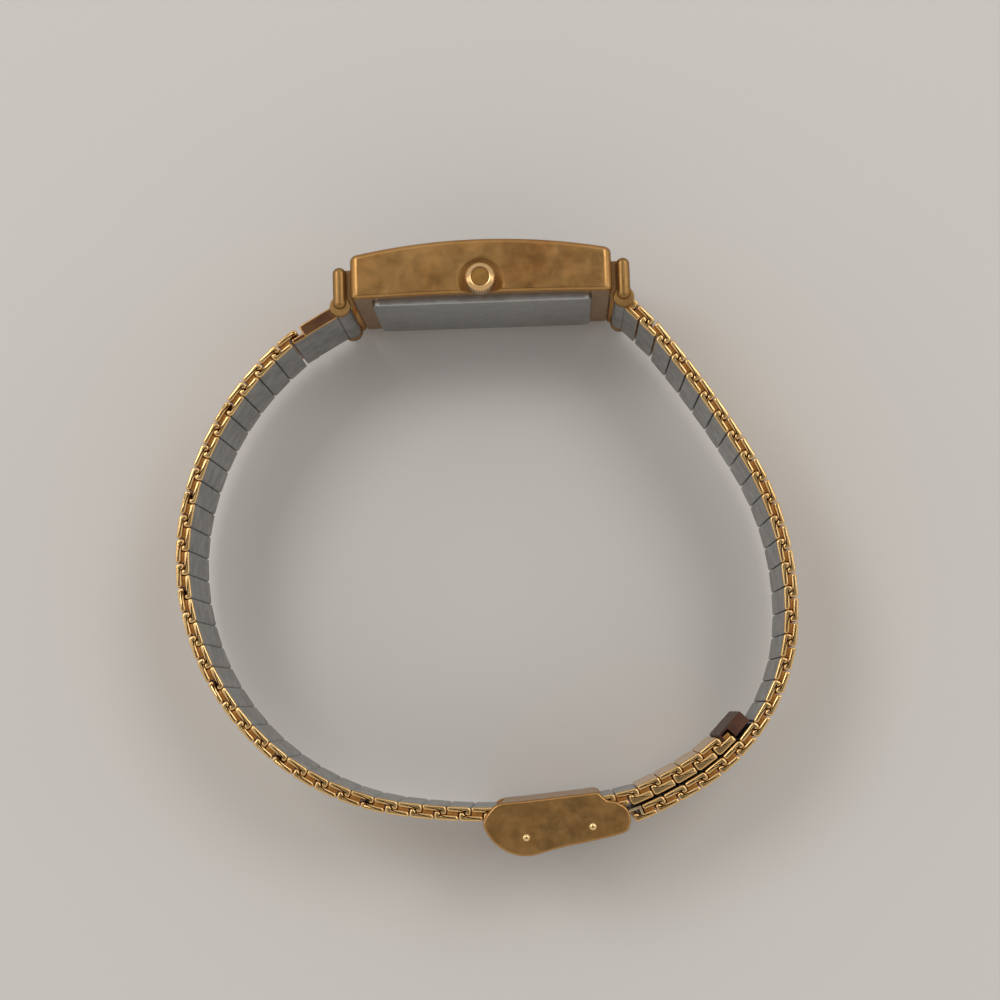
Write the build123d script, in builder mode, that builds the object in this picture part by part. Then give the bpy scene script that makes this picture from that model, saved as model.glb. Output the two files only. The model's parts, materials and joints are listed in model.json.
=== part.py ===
from build123d import *
import math
import os

# A small rectangular dress watch with a quartz movement, lying on its side with its strap closed.
# +Z points out of the crown side (3 o'clock), +Y out of the dial and +X to 12 o'clock.
# The origin is below the crown axis, on the flat 9 o'clock side that the watch rests on.

# Case, in millimetres
case_end_wall = 2.77
case_side_wall = 1.82
case_end_height = 4.4
case_top_bow = 1.33
case_bottom_bow = 0.2
crown_axis_height = 1.45
case_corner_radius = 0.8
bezel_chamfer = 0.45

# Crystal, its gasket and the dial opening
crystal_end_margin = 2.8
crystal_side_margin = 2.55
crystal_thickness = 1.0
crystal_gasket_wall = 0.3
crystal_ledge = 0.7
dial_thickness = 0.4
dial_ring_wall = 0.35
dial_ring_height = 0.35
dial_ring_gap = 0.11
marker_height = 0.12
marker_width = 0.3
marker_length = 1.1
marker_edge_gap = 0.25

# Snap back
back_end_flange = 0.72
back_side_flange = 0.22
back_drop = 0.55
back_recess = 0.25
back_floor = 0.45
back_edge_round = 0.2
spigot_height = 0.25
back_gasket_wall = 0.4

# Movement, measured from its middle
movement_width = 12.2
movement_corner = 0.6
holder_wall = 0.8
plate_top = 0.75
plate_thickness = 1.3
bridge_thickness = 0.25
bridge_gap = 0.6
battery_radius = 3.4
battery_height = 2.1
battery_end_gap = 0.15
battery_side_gap = 1.2
battery_centre_gap = 2.55
battery_cap_radius = 2.5
battery_cap_height = 0.12
clamp_thickness = 0.08
clamp_width = 1.6
clamp_foot_length = 0.45
coil_end_gap = 0.48
coil_length = 7.4
coil_radius = 0.72
coil_core_width = 1.0
coil_core_thickness = 0.35
coil_flange = 0.3
can_radius = 0.65
can_length = 4.4
can_x = -0.6
can_side_gap = 0.45
circuit_length = 3.6
circuit_width = 3.0
circuit_thickness = 0.25
circuit_x = 2.6
circuit_side_gap = 0.2
chip_size = 1.5
chip_height = 0.25
stator_thickness = 0.25
stator_bar = 1.4
stator_arm = 1.0

# Gear train: module and tooth counts
train_module = 0.12
rotor_module = 0.11
centre_teeth = 30
third_pinion_teeth = 8
third_teeth = 32
intermediate_pinion_teeth = 8
intermediate_teeth = 36
rotor_pinion_teeth = 6
cannon_teeth = 10
minute_teeth = 30
minute_pinion_teeth = 8
hour_teeth = 32
third_bearing = -35.0
intermediate_bearing = 10.0
rotor_bearing = 50.0
minute_bearing = 60.0
addendum_share = 0.85
dedendum_share = 1.2
root_tooth_share = 0.3
tip_tooth_share = 0.11
wheel_thickness = 0.12
wheel_gap = 0.08
arbor_radius = 0.2
pivot_radius = 0.1
rotor_magnet_radius = 0.5
stator_bore_gap = 0.1
cannon_radius = 0.38
hour_pipe_wall = 0.2
hour_hand_length = 3.3
minute_hand_length = 4.8
hand_tail = 1.1
hand_width = 0.62
hand_thickness = 0.13
hand_gap = 0.3
hand_boss_wall = 0.22
motion_gap = 0.1

# Crown, stem and keyless work
crown_radius = 1.52
crown_height = 1.9
crown_edge_chamfer = 0.3
crown_flute_count = 24
flute_radius = 0.1
crown_disc_radius = 0.85
crown_disc_step = 0.12
crown_recess_radius = 2.1
crown_recess_depth = 0.25
crown_travel = 0.8
tube_radius = 0.85
crown_gasket_wall = 0.28
crown_gasket_height = 0.4
stem_radius = 0.42
stem_groove_radius = 0.24
stem_groove_width = 0.6
stem_depth = 3.9
clutch_length = 1.2
clutch_teeth = 11
clutch_module = 0.12
lever_reach = 2.4
lever_width = 0.7
lever_pin_radius = 0.14
lever_depth = 1.8

# Screws
screw_head_radius = 0.42
screw_head_height = 0.15
screw_shank_radius = 0.2
screw_slot_width = 0.1
pillar_radius = 0.45
pillar_shares = ((-0.083, 0.156), (-0.063, -0.27), (0.366, -0.213))
bridge_shares = ((-0.108, 0.21), (-0.108, -0.33), (0.392, -0.33), (0.392, 0.0), (0.36, 0.16), (0.1, 0.21))

# Lugs and spring bars
lug_gap = 0.5
lug_bar = 1.35
lug_thickness = 1.4
lug_top = 1.75
lug_eye_radius = 1.05
lug_eye_drop = 1.85
lug_foot_height = 1.8
lug_foot_inset = 0.35
bar_radius = 0.55
bar_pivot_radius = 0.32
bar_pivot_reach = 0.9

# Band
band_width = 12.5
band_thickness = 1.4
strip_thickness = 0.26
hook_depth = 0.92
link_gap = 0.2
cap_corner = 0.16
layer_gap = 0.5
lower_end_length = 5.0
lower_end_angle = 209.4
upper_end_length = 4.0
upper_end_angle = -46.0
end_barrel_radius = 0.92
end_box_share = 0.92
lower_turns = (39.5, 95.1, 8.0)
lower_length_shares = (0.288, 0.593, 0.119)
upper_turns = (-9.0, -34.1, -55.9, -9.7)
upper_length_shares = (0.265, 0.297, 0.320, 0.118)
lower_section_counts = (4, 4, 4, 4, 4, 4, 5)
upper_section_counts = (4, 4, 4, 4, 4, 5)
tail_link_count = 5
tail_end_length = 2.2

# Clasp
loop_depth = 52.75
clasp_x = 5.8
clasp_tilt = 5.0
clasp_arc_length = 14.4
clasp_arc_turn = 14.6
clasp_link_count = 6
clasp_length = 14.45
clasp_depth = 5.43
clasp_plate = 0.6
clasp_base = 0.35
clasp_edge_round = 0.12
clasp_outline_shares = (
    (-0.455, 0.12), (-0.380, 0.0), (0.310, 0.0), (0.340, 0.19), (0.405, 0.19), (0.478, 0.33),
    (0.497, 0.48), (0.485, 0.66), (0.412, 0.80), (0.0, 0.92), (-0.218, 1.0), (-0.352, 0.90),
    (-0.446, 0.69), (-0.500, 0.43), (-0.500, 0.28))
base_from_share = -0.370
base_to_share = 0.300
lever_pin_u = -3.23
hook_pin_u = 3.38
lever_pin_stand = 1.55
hook_pin_stand = 1.24
clasp_pin_radius = 0.3
clasp_pin_head = 0.34
clasp_pin_proud = 0.12
flap_length = 5.3
flap_thickness = 0.5
flap_rise = 1.35
flap_end_rise = 1.0
flap_hub_radius = 0.75
cam_radius = 0.6
hook_thickness = 0.3
hook_overreach = 0.6

# Clearances and the overrun of cuts
running_gap = 0.04
seat_gap = 0.03
side_gap = 0.1
overrun = 1.0

# Sizes that follow from those above: the movement goes round its cell, the case round the movement
movement_length = 2 * (battery_end_gap + 2 * battery_radius + battery_centre_gap)
battery_x = -(movement_length / 2 - battery_end_gap - battery_radius)
battery_z = -(movement_width / 2 - battery_side_gap - battery_radius)
coil_x = movement_length / 2 - coil_end_gap - coil_radius
can_z = -(movement_width / 2 - can_side_gap - can_radius)
circuit_z = movement_width / 2 - circuit_side_gap - circuit_width / 2
stem_inner_z = movement_width / 2 - stem_depth
lever_z = movement_width / 2 - lever_depth
bay_length = movement_length + 2 * holder_wall + 2 * seat_gap
bay_width = movement_width + 2 * holder_wall + 2 * seat_gap
back_length = bay_length + 2 * back_end_flange
back_width = bay_width + 2 * back_side_flange
case_length = bay_length + 2 * case_end_wall
case_width = bay_width + 2 * case_side_wall
crystal_length = case_length - 2 * crystal_end_margin
crystal_width = case_width - 2 * crystal_side_margin

# Places worked out from them
mid_z = case_width / 2
case_bottom = -crown_axis_height
case_corner_top = case_bottom + case_end_height
case_top = case_corner_top + case_top_bow
half_case = case_length / 2
arch_radius = (half_case ** 2 + case_top_bow ** 2) / (2 * case_top_bow)
crystal_end_drop = arch_radius - math.sqrt(arch_radius ** 2 - (crystal_length / 2) ** 2)
dial_seat_height = case_top - crystal_end_drop - crystal_thickness - dial_ring_gap - dial_ring_height
back_outer = case_bottom - back_drop
back_seat = case_bottom + back_recess
back_inner = back_outer + back_floor
dial_under = dial_seat_height - dial_thickness
plate_bottom = plate_top - plate_thickness
bridge_top = plate_bottom - bridge_gap
bridge_bottom = bridge_top - bridge_thickness
lug_x = half_case + lug_gap + lug_bar / 2
bar_y = -lug_eye_drop
band_low = mid_z - band_width / 2
band_high = mid_z + band_width / 2
half_band = band_thickness / 2


os.makedirs("parts", exist_ok=True)


def save(shape, name):
    shape.label = name
    export_step(shape, f"parts/{name}.step")


def arch_height(x):
    return case_top - arch_radius + math.sqrt(arch_radius ** 2 - x ** 2)


def level(y):
    """Plane at height y, facing the case back, with its middle on the dial's centre."""
    return Plane(origin=(0, y, mid_z), x_dir=(1, 0, 0), z_dir=(0, -1, 0))


def side(z):
    """Plane square to the crown axis at height z."""
    return Plane.XY.offset(z)


def polar(radius, bearing):
    return (radius * math.cos(math.radians(bearing)), radius * math.sin(math.radians(bearing)))


def moved(start, radius, bearing):
    dx, dz = polar(radius, bearing)
    return (start[0] + dx, start[1] + dz)


# Outlines that several pieces share
def crystal_outline(half_length, top_drop, bottom_drop):
    """Side outline of a plate between two arches, one below the other."""
    end = arch_height(half_length)
    with BuildLine() as outline:
        ThreePointArc((-half_length, end - top_drop), (0, case_top - top_drop), (half_length, end - top_drop))
        ThreePointArc((-half_length, end - bottom_drop), (0, case_top - bottom_drop),
                      (half_length, end - bottom_drop))
        Line((-half_length, end - top_drop), (-half_length, end - bottom_drop))
        Line((half_length, end - top_drop), (half_length, end - bottom_drop))
    return outline.line


def gear_outline(teeth, module, phase):
    """Closed outline of a wheel whose first tooth points along phase, in degrees."""
    pitch_radius = teeth * module / 2
    tip = pitch_radius + addendum_share * module
    root = pitch_radius - dedendum_share * module
    step = 360 / teeth
    points = []
    for tooth in range(teeth):
        middle = phase + tooth * step
        points.append(polar(root, middle - root_tooth_share * step))
        points.append(polar(tip, middle - tip_tooth_share * step))
        points.append(polar(tip, middle + tip_tooth_share * step))
        points.append(polar(root, middle + root_tooth_share * step))
    with BuildLine() as outline:
        Polyline(*points, close=True)
    return outline.line


# Band path: tangent arcs, each given by its length and its turn in degrees
def arc_end(point, heading, length, turn):
    half = math.radians(turn) / 2
    chord = length if turn == 0 else length * math.sin(half) / half
    middle = math.radians(heading) + half
    end = (point[0] + chord * math.cos(middle), point[1] + chord * math.sin(middle))
    return end, heading + turn


def along(path, distance):
    """Point and heading at a distance along a path; past the end it goes straight on."""
    start, heading, pieces = path
    for length, turn in pieces:
        if distance <= length:
            return arc_end(start, heading, distance, turn * distance / length)
        start, heading = arc_end(start, heading, length, turn)
        distance -= length
    return arc_end(start, heading, distance, 0)


def path_length(path):
    return sum(length for length, turn in path[2])


def fitted_path(start, end, turns, length_shares):
    """The shape given by turns and shares, turned and scaled to run from start to end."""
    trial = ((0, 0), 0, list(zip(length_shares, turns)))
    reach, _ = along(trial, path_length(trial))
    scale = math.dist(start, end) / math.hypot(*reach)
    bearing = math.atan2(end[1] - start[1], end[0] - start[0]) - math.atan2(reach[1], reach[0])
    return start, math.degrees(bearing), [(share * scale, turn) for share, turn in zip(length_shares, turns)]


def frame_point(point, heading, outward, t, n):
    """World XY of a place t along the heading and n outward of it."""
    a = math.radians(heading)
    return (point[0] + t * math.cos(a) - outward * n * math.sin(a),
            point[1] + t * math.sin(a) + outward * n * math.cos(a))


lower_bar = (-lug_x, bar_y)
upper_bar = (lug_x, bar_y)
clasp_middle = (clasp_x, -loop_depth)
clasp_radius = clasp_arc_length / math.radians(clasp_arc_turn)
clasp_start, _ = arc_end(clasp_middle, clasp_tilt + 180, clasp_arc_length / 2, -clasp_arc_turn / 2)
clasp_path = (clasp_start, clasp_tilt - clasp_arc_turn / 2, [(clasp_arc_length, clasp_arc_turn)])
clasp_end, clasp_end_heading = along(clasp_path, clasp_arc_length)
lower_start = moved(lower_bar, lower_end_length, lower_end_angle)
upper_start = moved(upper_bar, upper_end_length, upper_end_angle)
layer_step = band_thickness + layer_gap
upper_finish = frame_point(clasp_end, clasp_end_heading, -1, 0, layer_step)
lower_path = fitted_path(lower_start, clasp_start, lower_turns, lower_length_shares)
upper_path = fitted_path(upper_start, upper_finish, upper_turns, upper_length_shares)
upper_end_heading = along(upper_path, path_length(upper_path))[1]
tail_pieces = []
for length, turn in reversed(upper_path[2]):
    tail_pieces.append((length - layer_step * math.radians(-turn), -turn))
tail_path = (clasp_end, upper_end_heading + 180, tail_pieces)
lower_pitch = path_length(lower_path) / sum(lower_section_counts)
upper_pitch = path_length(upper_path) / sum(upper_section_counts)
clasp_pitch = clasp_arc_length / clasp_link_count
tail_pitch = upper_pitch


def clasp_point(u, v):
    """World XY of a place u along the clasp and v outward of the band's middle line in it."""
    return frame_point(clasp_middle, clasp_tilt, -1, u, v)


# Case body
bezel_length = crystal_length + 2 * crystal_gasket_wall
bezel_width = crystal_width + 2 * crystal_gasket_wall
window_length = crystal_length - 2 * crystal_ledge
window_width = crystal_width - 2 * crystal_ledge
with BuildPart() as case_body:
    with BuildSketch(side(0)):
        with BuildLine():
            ThreePointArc((-half_case, case_corner_top), (0, case_top), (half_case, case_corner_top))
            Line((half_case, case_corner_top), (half_case, case_bottom))
            ThreePointArc((half_case, case_bottom), (0, case_bottom + case_bottom_bow),
                          (-half_case, case_bottom))
            Line((-half_case, case_bottom), (-half_case, case_corner_top))
        make_face()
    extrude(amount=case_width)
    fillet(case_body.edges().filter_by(Axis.Y), radius=case_corner_radius)
    chamfer(case_body.faces().sort_by(Axis.Y)[-1].edges(), length=bezel_chamfer)
    with BuildSketch(level(dial_seat_height)):
        RectangleRounded(bay_length, bay_width, movement_corner)
    extrude(amount=dial_seat_height - case_bottom + overrun, mode=Mode.SUBTRACT)
    with BuildSketch(level(case_top + overrun)):
        RectangleRounded(window_length, window_width, movement_corner)
    extrude(amount=case_top + overrun - dial_seat_height, mode=Mode.SUBTRACT)
    with BuildSketch(level(back_seat)):
        RectangleRounded(back_length + 2 * seat_gap, back_width + 2 * seat_gap, case_corner_radius)
    extrude(amount=back_recess + overrun, mode=Mode.SUBTRACT)
    with BuildSketch(side(mid_z - bezel_width / 2)):
        add(crystal_outline(bezel_length / 2, -overrun, crystal_thickness))
        make_face()
    extrude(amount=bezel_width, mode=Mode.SUBTRACT)
    with BuildSketch(side(case_width - crown_recess_depth)):
        Circle(crown_recess_radius)
    extrude(amount=crown_recess_depth + overrun, mode=Mode.SUBTRACT)
    with BuildSketch(side(mid_z)):
        Circle(tube_radius)
    extrude(amount=case_width, mode=Mode.SUBTRACT)
save(case_body.part, "case_body")

# Crystal and its gasket
with BuildPart() as crystal:
    with BuildSketch(side(mid_z - crystal_width / 2)):
        add(crystal_outline(crystal_length / 2, 0, crystal_thickness))
        make_face()
    extrude(amount=crystal_width)
save(crystal.part, "crystal")

gasket_top_drop = crystal_thickness / 4
with BuildPart() as crystal_gasket:
    with BuildSketch(side(mid_z - bezel_width / 2)):
        add(crystal_outline(bezel_length / 2, gasket_top_drop, crystal_thickness))
        make_face()
    extrude(amount=bezel_width)
    with BuildSketch(side(mid_z - crystal_width / 2)):
        add(crystal_outline(crystal_length / 2, -overrun, crystal_thickness + overrun))
        make_face()
    extrude(amount=crystal_width, mode=Mode.SUBTRACT)
save(crystal_gasket.part, "crystal_gasket")

# Dial, its markers and the ring round it
hour_pipe_bore = cannon_radius + running_gap
hour_pipe_radius = hour_pipe_bore + hour_pipe_wall
dial_hole = hour_pipe_radius + running_gap
with BuildPart() as dial:
    with BuildSketch(level(dial_seat_height)):
        RectangleRounded(bay_length - 2 * seat_gap, bay_width - 2 * seat_gap, movement_corner)
        Circle(dial_hole, mode=Mode.SUBTRACT)
    extrude(amount=dial_thickness)
save(dial.part, "dial")

ring_length = window_length - 2 * seat_gap
ring_width = window_width - 2 * seat_gap
with BuildPart() as dial_ring:
    with BuildSketch(level(dial_seat_height + dial_ring_height)):
        RectangleRounded(ring_length, ring_width, movement_corner)
        RectangleRounded(ring_length - 2 * dial_ring_wall, ring_width - 2 * dial_ring_wall,
                         movement_corner - dial_ring_wall / 2, mode=Mode.SUBTRACT)
    extrude(amount=dial_ring_height)
save(dial_ring.part, "dial_ring")

marker_reach_x = ring_length / 2 - dial_ring_wall - marker_edge_gap - marker_length / 2
marker_reach_z = ring_width / 2 - dial_ring_wall - marker_edge_gap - marker_length / 2
with BuildPart() as dial_markers:
    with BuildSketch(level(dial_seat_height + marker_height)):
        for hour in range(12):
            dx, dz = polar(1, 90 - 30 * hour)
            reach = 1 / max(abs(dx) / marker_reach_x, abs(dz) / marker_reach_z)
            with Locations(Location((dx * reach, dz * reach, 0), (0, 0, 90 - 30 * hour))):
                Rectangle(marker_length, marker_width)
    extrude(amount=marker_height)
save(dial_markers.part, "dial_markers")

# Snap back and its gasket
spigot_length = bay_length - 2 * back_gasket_wall
spigot_width = bay_width - 2 * back_gasket_wall
pocket_length = movement_length + 2 * side_gap
pocket_width = movement_width + 2 * side_gap
with BuildPart() as case_back:
    with BuildSketch(level(back_seat)):
        RectangleRounded(back_length, back_width, case_corner_radius)
    extrude(amount=back_seat - back_outer)
    fillet(case_back.faces().sort_by(Axis.Y)[0].edges(), radius=back_edge_round)
    with BuildSketch(level(back_seat + spigot_height)):
        RectangleRounded(spigot_length, spigot_width, movement_corner)
    extrude(amount=spigot_height)
    with BuildSketch(level(back_seat + spigot_height)):
        RectangleRounded(pocket_length, pocket_width, movement_corner)
    extrude(amount=back_seat + spigot_height - back_inner, mode=Mode.SUBTRACT)
save(case_back.part, "case_back")

with BuildPart() as back_gasket:
    with BuildSketch(level(back_seat + spigot_height)):
        RectangleRounded(bay_length, bay_width, movement_corner)
        RectangleRounded(spigot_length, spigot_width, movement_corner, mode=Mode.SUBTRACT)
    extrude(amount=spigot_height)
save(back_gasket.part, "back_gasket")

# Movement holder, a frame round the movement between the dial and the back
holder_bottom = back_seat + spigot_height
with BuildPart() as movement_holder:
    with BuildSketch(level(dial_under)):
        RectangleRounded(bay_length - 2 * seat_gap, bay_width - 2 * seat_gap, movement_corner)
        RectangleRounded(movement_length, movement_width, movement_corner, mode=Mode.SUBTRACT)
    extrude(amount=dial_under - holder_bottom)
    with BuildSketch(side(mid_z)):
        Circle(tube_radius + seat_gap)
    extrude(amount=case_width, mode=Mode.SUBTRACT)
save(movement_holder.part, "movement_holder")

# Places of the train's axles, from the dial's centre
third_place = moved((0, 0), train_module * (centre_teeth + third_pinion_teeth) / 2, third_bearing)
intermediate_place = moved(third_place, train_module * (third_teeth + intermediate_pinion_teeth) / 2,
                           intermediate_bearing)
rotor_place = moved(intermediate_place, rotor_module * (intermediate_teeth + rotor_pinion_teeth) / 2,
                    rotor_bearing)
minute_place = moved((0, 0), train_module * (cannon_teeth + minute_teeth) / 2, minute_bearing)
first_level = plate_bottom - wheel_gap
second_level = first_level - wheel_thickness - wheel_gap
third_level = second_level - wheel_thickness - wheel_gap
motion_level = plate_top + motion_gap + wheel_thickness
hour_level = motion_level + motion_gap + wheel_thickness
stator_x = rotor_place[0]
stator_reach = coil_length / 2 + coil_flange + stator_arm
pillar_places = [(x * movement_length, z * movement_width) for x, z in pillar_shares]
clutch_outer = clutch_teeth * clutch_module / 2 + addendum_share * clutch_module
tube_bore = stem_radius + running_gap
coil_middle = plate_bottom + coil_core_thickness / 2
can_middle = plate_bottom

# Main plate
with BuildPart() as main_plate:
    with BuildSketch(level(plate_top)):
        RectangleRounded(movement_length, movement_width, movement_corner)
        with Locations((battery_x, battery_z)):
            Circle(battery_radius + seat_gap, mode=Mode.SUBTRACT)
        with Locations(third_place, intermediate_place, rotor_place):
            Circle(pivot_radius + running_gap, mode=Mode.SUBTRACT)
        with Locations(minute_place):
            Circle(pivot_radius + running_gap, mode=Mode.SUBTRACT)
        Circle(arbor_radius + running_gap, mode=Mode.SUBTRACT)
    extrude(amount=plate_thickness)
    with BuildSketch(side(mid_z + stem_inner_z - side_gap)):
        Circle(stem_radius + running_gap)
    extrude(amount=movement_width, mode=Mode.SUBTRACT)
    with BuildSketch(level(0)):
        with Locations((0, stem_inner_z + movement_width / 2 - side_gap)):
            Rectangle(2 * (stem_radius + running_gap), movement_width)
    extrude(amount=plate_thickness, mode=Mode.SUBTRACT)
    with BuildSketch(side(mid_z + stem_inner_z - side_gap)):
        Rectangle(2 * (clutch_outer + running_gap), 2 * plate_thickness)
    extrude(amount=clutch_length + 2 * side_gap, mode=Mode.SUBTRACT)
    with BuildSketch(side(mid_z - coil_length / 2 - coil_flange - seat_gap)):
        with Locations((coil_x, coil_middle)):
            Circle(coil_radius + seat_gap)
    extrude(amount=coil_length + 2 * coil_flange + 2 * seat_gap, mode=Mode.SUBTRACT)
    with BuildSketch(level(plate_bottom + coil_core_thickness)):
        with Locations((coil_x, 0)):
            Rectangle(coil_core_width + 2 * seat_gap, 2 * stator_reach + 2 * seat_gap)
    extrude(amount=plate_thickness, mode=Mode.SUBTRACT)
    with BuildSketch(Plane.YZ.offset(can_x - seat_gap)):
        with Locations((can_middle, mid_z + can_z)):
            Circle(can_radius + seat_gap)
    extrude(amount=can_length + 2 * seat_gap, mode=Mode.SUBTRACT)
    with BuildSketch(level(plate_bottom + plate_thickness / 2)):
        with Locations((-lever_reach, lever_z)):
            Circle(pivot_radius + running_gap)
        with Locations(*pillar_places):
            Circle(screw_shank_radius)
        with Locations(rotor_place):
            Circle(rotor_magnet_radius + stator_bore_gap)
    extrude(amount=plate_thickness, mode=Mode.SUBTRACT)
save(main_plate.part, "main_plate")

# Train bridge on its pillars, and the screws that hold it
with BuildPart() as train_bridge:
    with BuildSketch(level(bridge_top)):
        with BuildLine():
            Polyline(*[(x * movement_length, z * movement_width) for x, z in bridge_shares], close=True)
        make_face()
        with Locations(third_place, intermediate_place, rotor_place, (0, 0)):
            Circle(pivot_radius + running_gap, mode=Mode.SUBTRACT)
    extrude(amount=bridge_thickness)
    with BuildSketch(level(plate_bottom)):
        with Locations(*pillar_places):
            Circle(pillar_radius)
    extrude(amount=bridge_gap)
    with BuildSketch(level(plate_bottom)):
        with Locations(*pillar_places):
            Circle(screw_shank_radius)
    extrude(amount=plate_thickness, mode=Mode.SUBTRACT)
    with BuildSketch(level(bridge_bottom + screw_head_height)):
        with Locations(*pillar_places):
            Circle(screw_head_radius)
    extrude(amount=screw_head_height, mode=Mode.SUBTRACT)
save(train_bridge.part, "train_bridge")

with BuildPart() as bridge_screws:
    with BuildSketch(level(bridge_bottom + screw_head_height)):
        with Locations(*pillar_places):
            Circle(screw_head_radius)
    extrude(amount=screw_head_height)
    with BuildSketch(level(plate_bottom + plate_thickness / 2)):
        with Locations(*pillar_places):
            Circle(screw_shank_radius)
    extrude(amount=plate_thickness / 2 + bridge_gap + bridge_thickness - screw_head_height / 2)
    with BuildSketch(level(bridge_bottom + screw_head_height / 2)):
        with Locations(*pillar_places):
            Rectangle(2 * screw_head_radius + side_gap, screw_slot_width)
    extrude(amount=screw_head_height, mode=Mode.SUBTRACT)
save(bridge_screws.part, "bridge_screws")

# Battery and the strip that holds it
battery_top = plate_top - seat_gap
battery_bottom = battery_top - battery_height
with BuildPart() as battery:
    with BuildSketch(level(battery_top)):
        with Locations((battery_x, battery_z)):
            Circle(battery_radius)
    extrude(amount=battery_height - battery_cap_height)
    with BuildSketch(level(battery_bottom + battery_cap_height)):
        with Locations((battery_x, battery_z)):
            Circle(battery_cap_radius)
    extrude(amount=battery_cap_height)
save(battery.part, "battery")

clamp_leg_x = battery_x + battery_radius + side_gap
clamp_outline = (
    (battery_x - battery_cap_radius, battery_bottom), (clamp_leg_x, battery_bottom),
    (clamp_leg_x, plate_bottom), (clamp_leg_x + clamp_foot_length, plate_bottom),
    (clamp_leg_x + clamp_foot_length, plate_bottom - clamp_thickness),
    (clamp_leg_x + clamp_thickness, plate_bottom - clamp_thickness),
    (clamp_leg_x + clamp_thickness, battery_bottom - clamp_thickness),
    (battery_x - battery_cap_radius, battery_bottom - clamp_thickness))
with BuildPart() as battery_clamp:
    with BuildSketch(side(mid_z + battery_z - clamp_width / 2)):
        with BuildLine():
            Polyline(*clamp_outline, close=True)
        make_face()
    extrude(amount=clamp_width)
save(battery_clamp.part, "battery_clamp")

# Stepping motor: stator plate, coil core and winding
with BuildPart() as stator:
    with BuildSketch(level(plate_bottom)):
        with Locations((stator_x, 0)):
            Rectangle(stator_bar, 2 * stator_reach)
        arm_length = coil_x + coil_core_width / 2 - stator_x
        for end in (1, -1):
            with Locations((stator_x + arm_length / 2, end * (stator_reach - stator_arm / 2))):
                Rectangle(arm_length, stator_arm)
        with Locations(rotor_place):
            Circle(rotor_magnet_radius + stator_bore_gap, mode=Mode.SUBTRACT)
    extrude(amount=stator_thickness)
save(stator.part, "stator")

with BuildPart() as coil_core:
    with BuildSketch(level(plate_bottom + coil_core_thickness)):
        with Locations((coil_x, 0)):
            Rectangle(coil_core_width, 2 * stator_reach)
    extrude(amount=coil_core_thickness)
save(coil_core.part, "coil_core")

with BuildPart() as coil_winding:
    for offset, length, radius in ((0, coil_length, coil_radius - coil_flange / 2),
                                   (coil_length / 2, coil_flange, coil_radius),
                                   (-coil_length / 2, coil_flange, coil_radius)):
        with BuildSketch(side(mid_z + offset - length / 2)):
            with Locations((coil_x, coil_middle)):
                Circle(radius)
        extrude(amount=length)
    with BuildSketch(side(0)):
        with Locations((coil_x, coil_middle)):
            Rectangle(coil_core_width, coil_core_thickness)
    extrude(amount=case_width, mode=Mode.SUBTRACT)
save(coil_winding.part, "coil_winding")

# Quartz can and circuit board
with BuildPart() as quartz_can:
    with BuildSketch(Plane.YZ.offset(can_x)):
        with Locations((can_middle, mid_z + can_z)):
            Circle(can_radius)
    extrude(amount=can_length)
    fillet(quartz_can.faces().sort_by(Axis.X)[-1].edges(), radius=can_radius / 4)
save(quartz_can.part, "quartz_can")

with BuildPart() as circuit_board:
    with BuildSketch(level(plate_bottom)):
        with Locations((circuit_x, circuit_z)):
            Rectangle(circuit_length, circuit_width)
    extrude(amount=circuit_thickness)
    with BuildSketch(level(plate_bottom - circuit_thickness)):
        with Locations((circuit_x, circuit_z)):
            Rectangle(chip_size, chip_size)
    extrude(amount=chip_height)
save(circuit_board.part, "circuit_board")


# Wheels of the train; each is a stack of (outline or radius, upper height, thickness)
def wheel_stack(place, layers, bore=0):
    with BuildPart() as wheel:
        for outline, top, thickness in layers:
            with BuildSketch(level(top)):
                with Locations(place):
                    if isinstance(outline, float):
                        Circle(outline)
                    else:
                        add(outline)
                        make_face()
            extrude(amount=thickness)
        if bore:
            with BuildSketch(level(case_top)):
                with Locations(place):
                    Circle(bore)
            extrude(amount=case_top - case_bottom, mode=Mode.SUBTRACT)
    return wheel.part


cannon_level = motion_level - wheel_thickness
hour_hand_top = dial_seat_height + hand_gap + hand_thickness
minute_hand_top = hour_hand_top + hand_gap + hand_thickness
centre_wheel = wheel_stack((0, 0), (
    (pivot_radius, bridge_top + seat_gap, bridge_thickness),
    (arbor_radius, motion_level, motion_level - bridge_top - seat_gap),
    (gear_outline(centre_teeth, train_module, third_bearing), first_level, wheel_thickness),
    (gear_outline(cannon_teeth, train_module, minute_bearing), motion_level, wheel_thickness),
    (cannon_radius, minute_hand_top, minute_hand_top - cannon_level)))
save(centre_wheel, "centre_wheel")

third_wheel = wheel_stack(third_place, (
    (pivot_radius, plate_bottom + plate_thickness / 2, plate_thickness / 2 + bridge_gap + bridge_thickness),
    (gear_outline(third_pinion_teeth, train_module, third_bearing + 180 + 180 / third_pinion_teeth),
     first_level, first_level - second_level + wheel_thickness),
    (gear_outline(third_teeth, train_module, intermediate_bearing), second_level, wheel_thickness)))
save(third_wheel, "third_wheel")

intermediate_phase = intermediate_bearing + 180 + 180 / intermediate_pinion_teeth
intermediate_wheel = wheel_stack(intermediate_place, (
    (pivot_radius, plate_bottom + plate_thickness / 2, plate_thickness / 2 + bridge_gap + bridge_thickness),
    (gear_outline(intermediate_pinion_teeth, train_module, intermediate_phase),
     second_level, second_level - third_level + wheel_thickness),
    (gear_outline(intermediate_teeth, rotor_module, rotor_bearing), third_level, wheel_thickness)))
save(intermediate_wheel, "intermediate_wheel")

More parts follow.
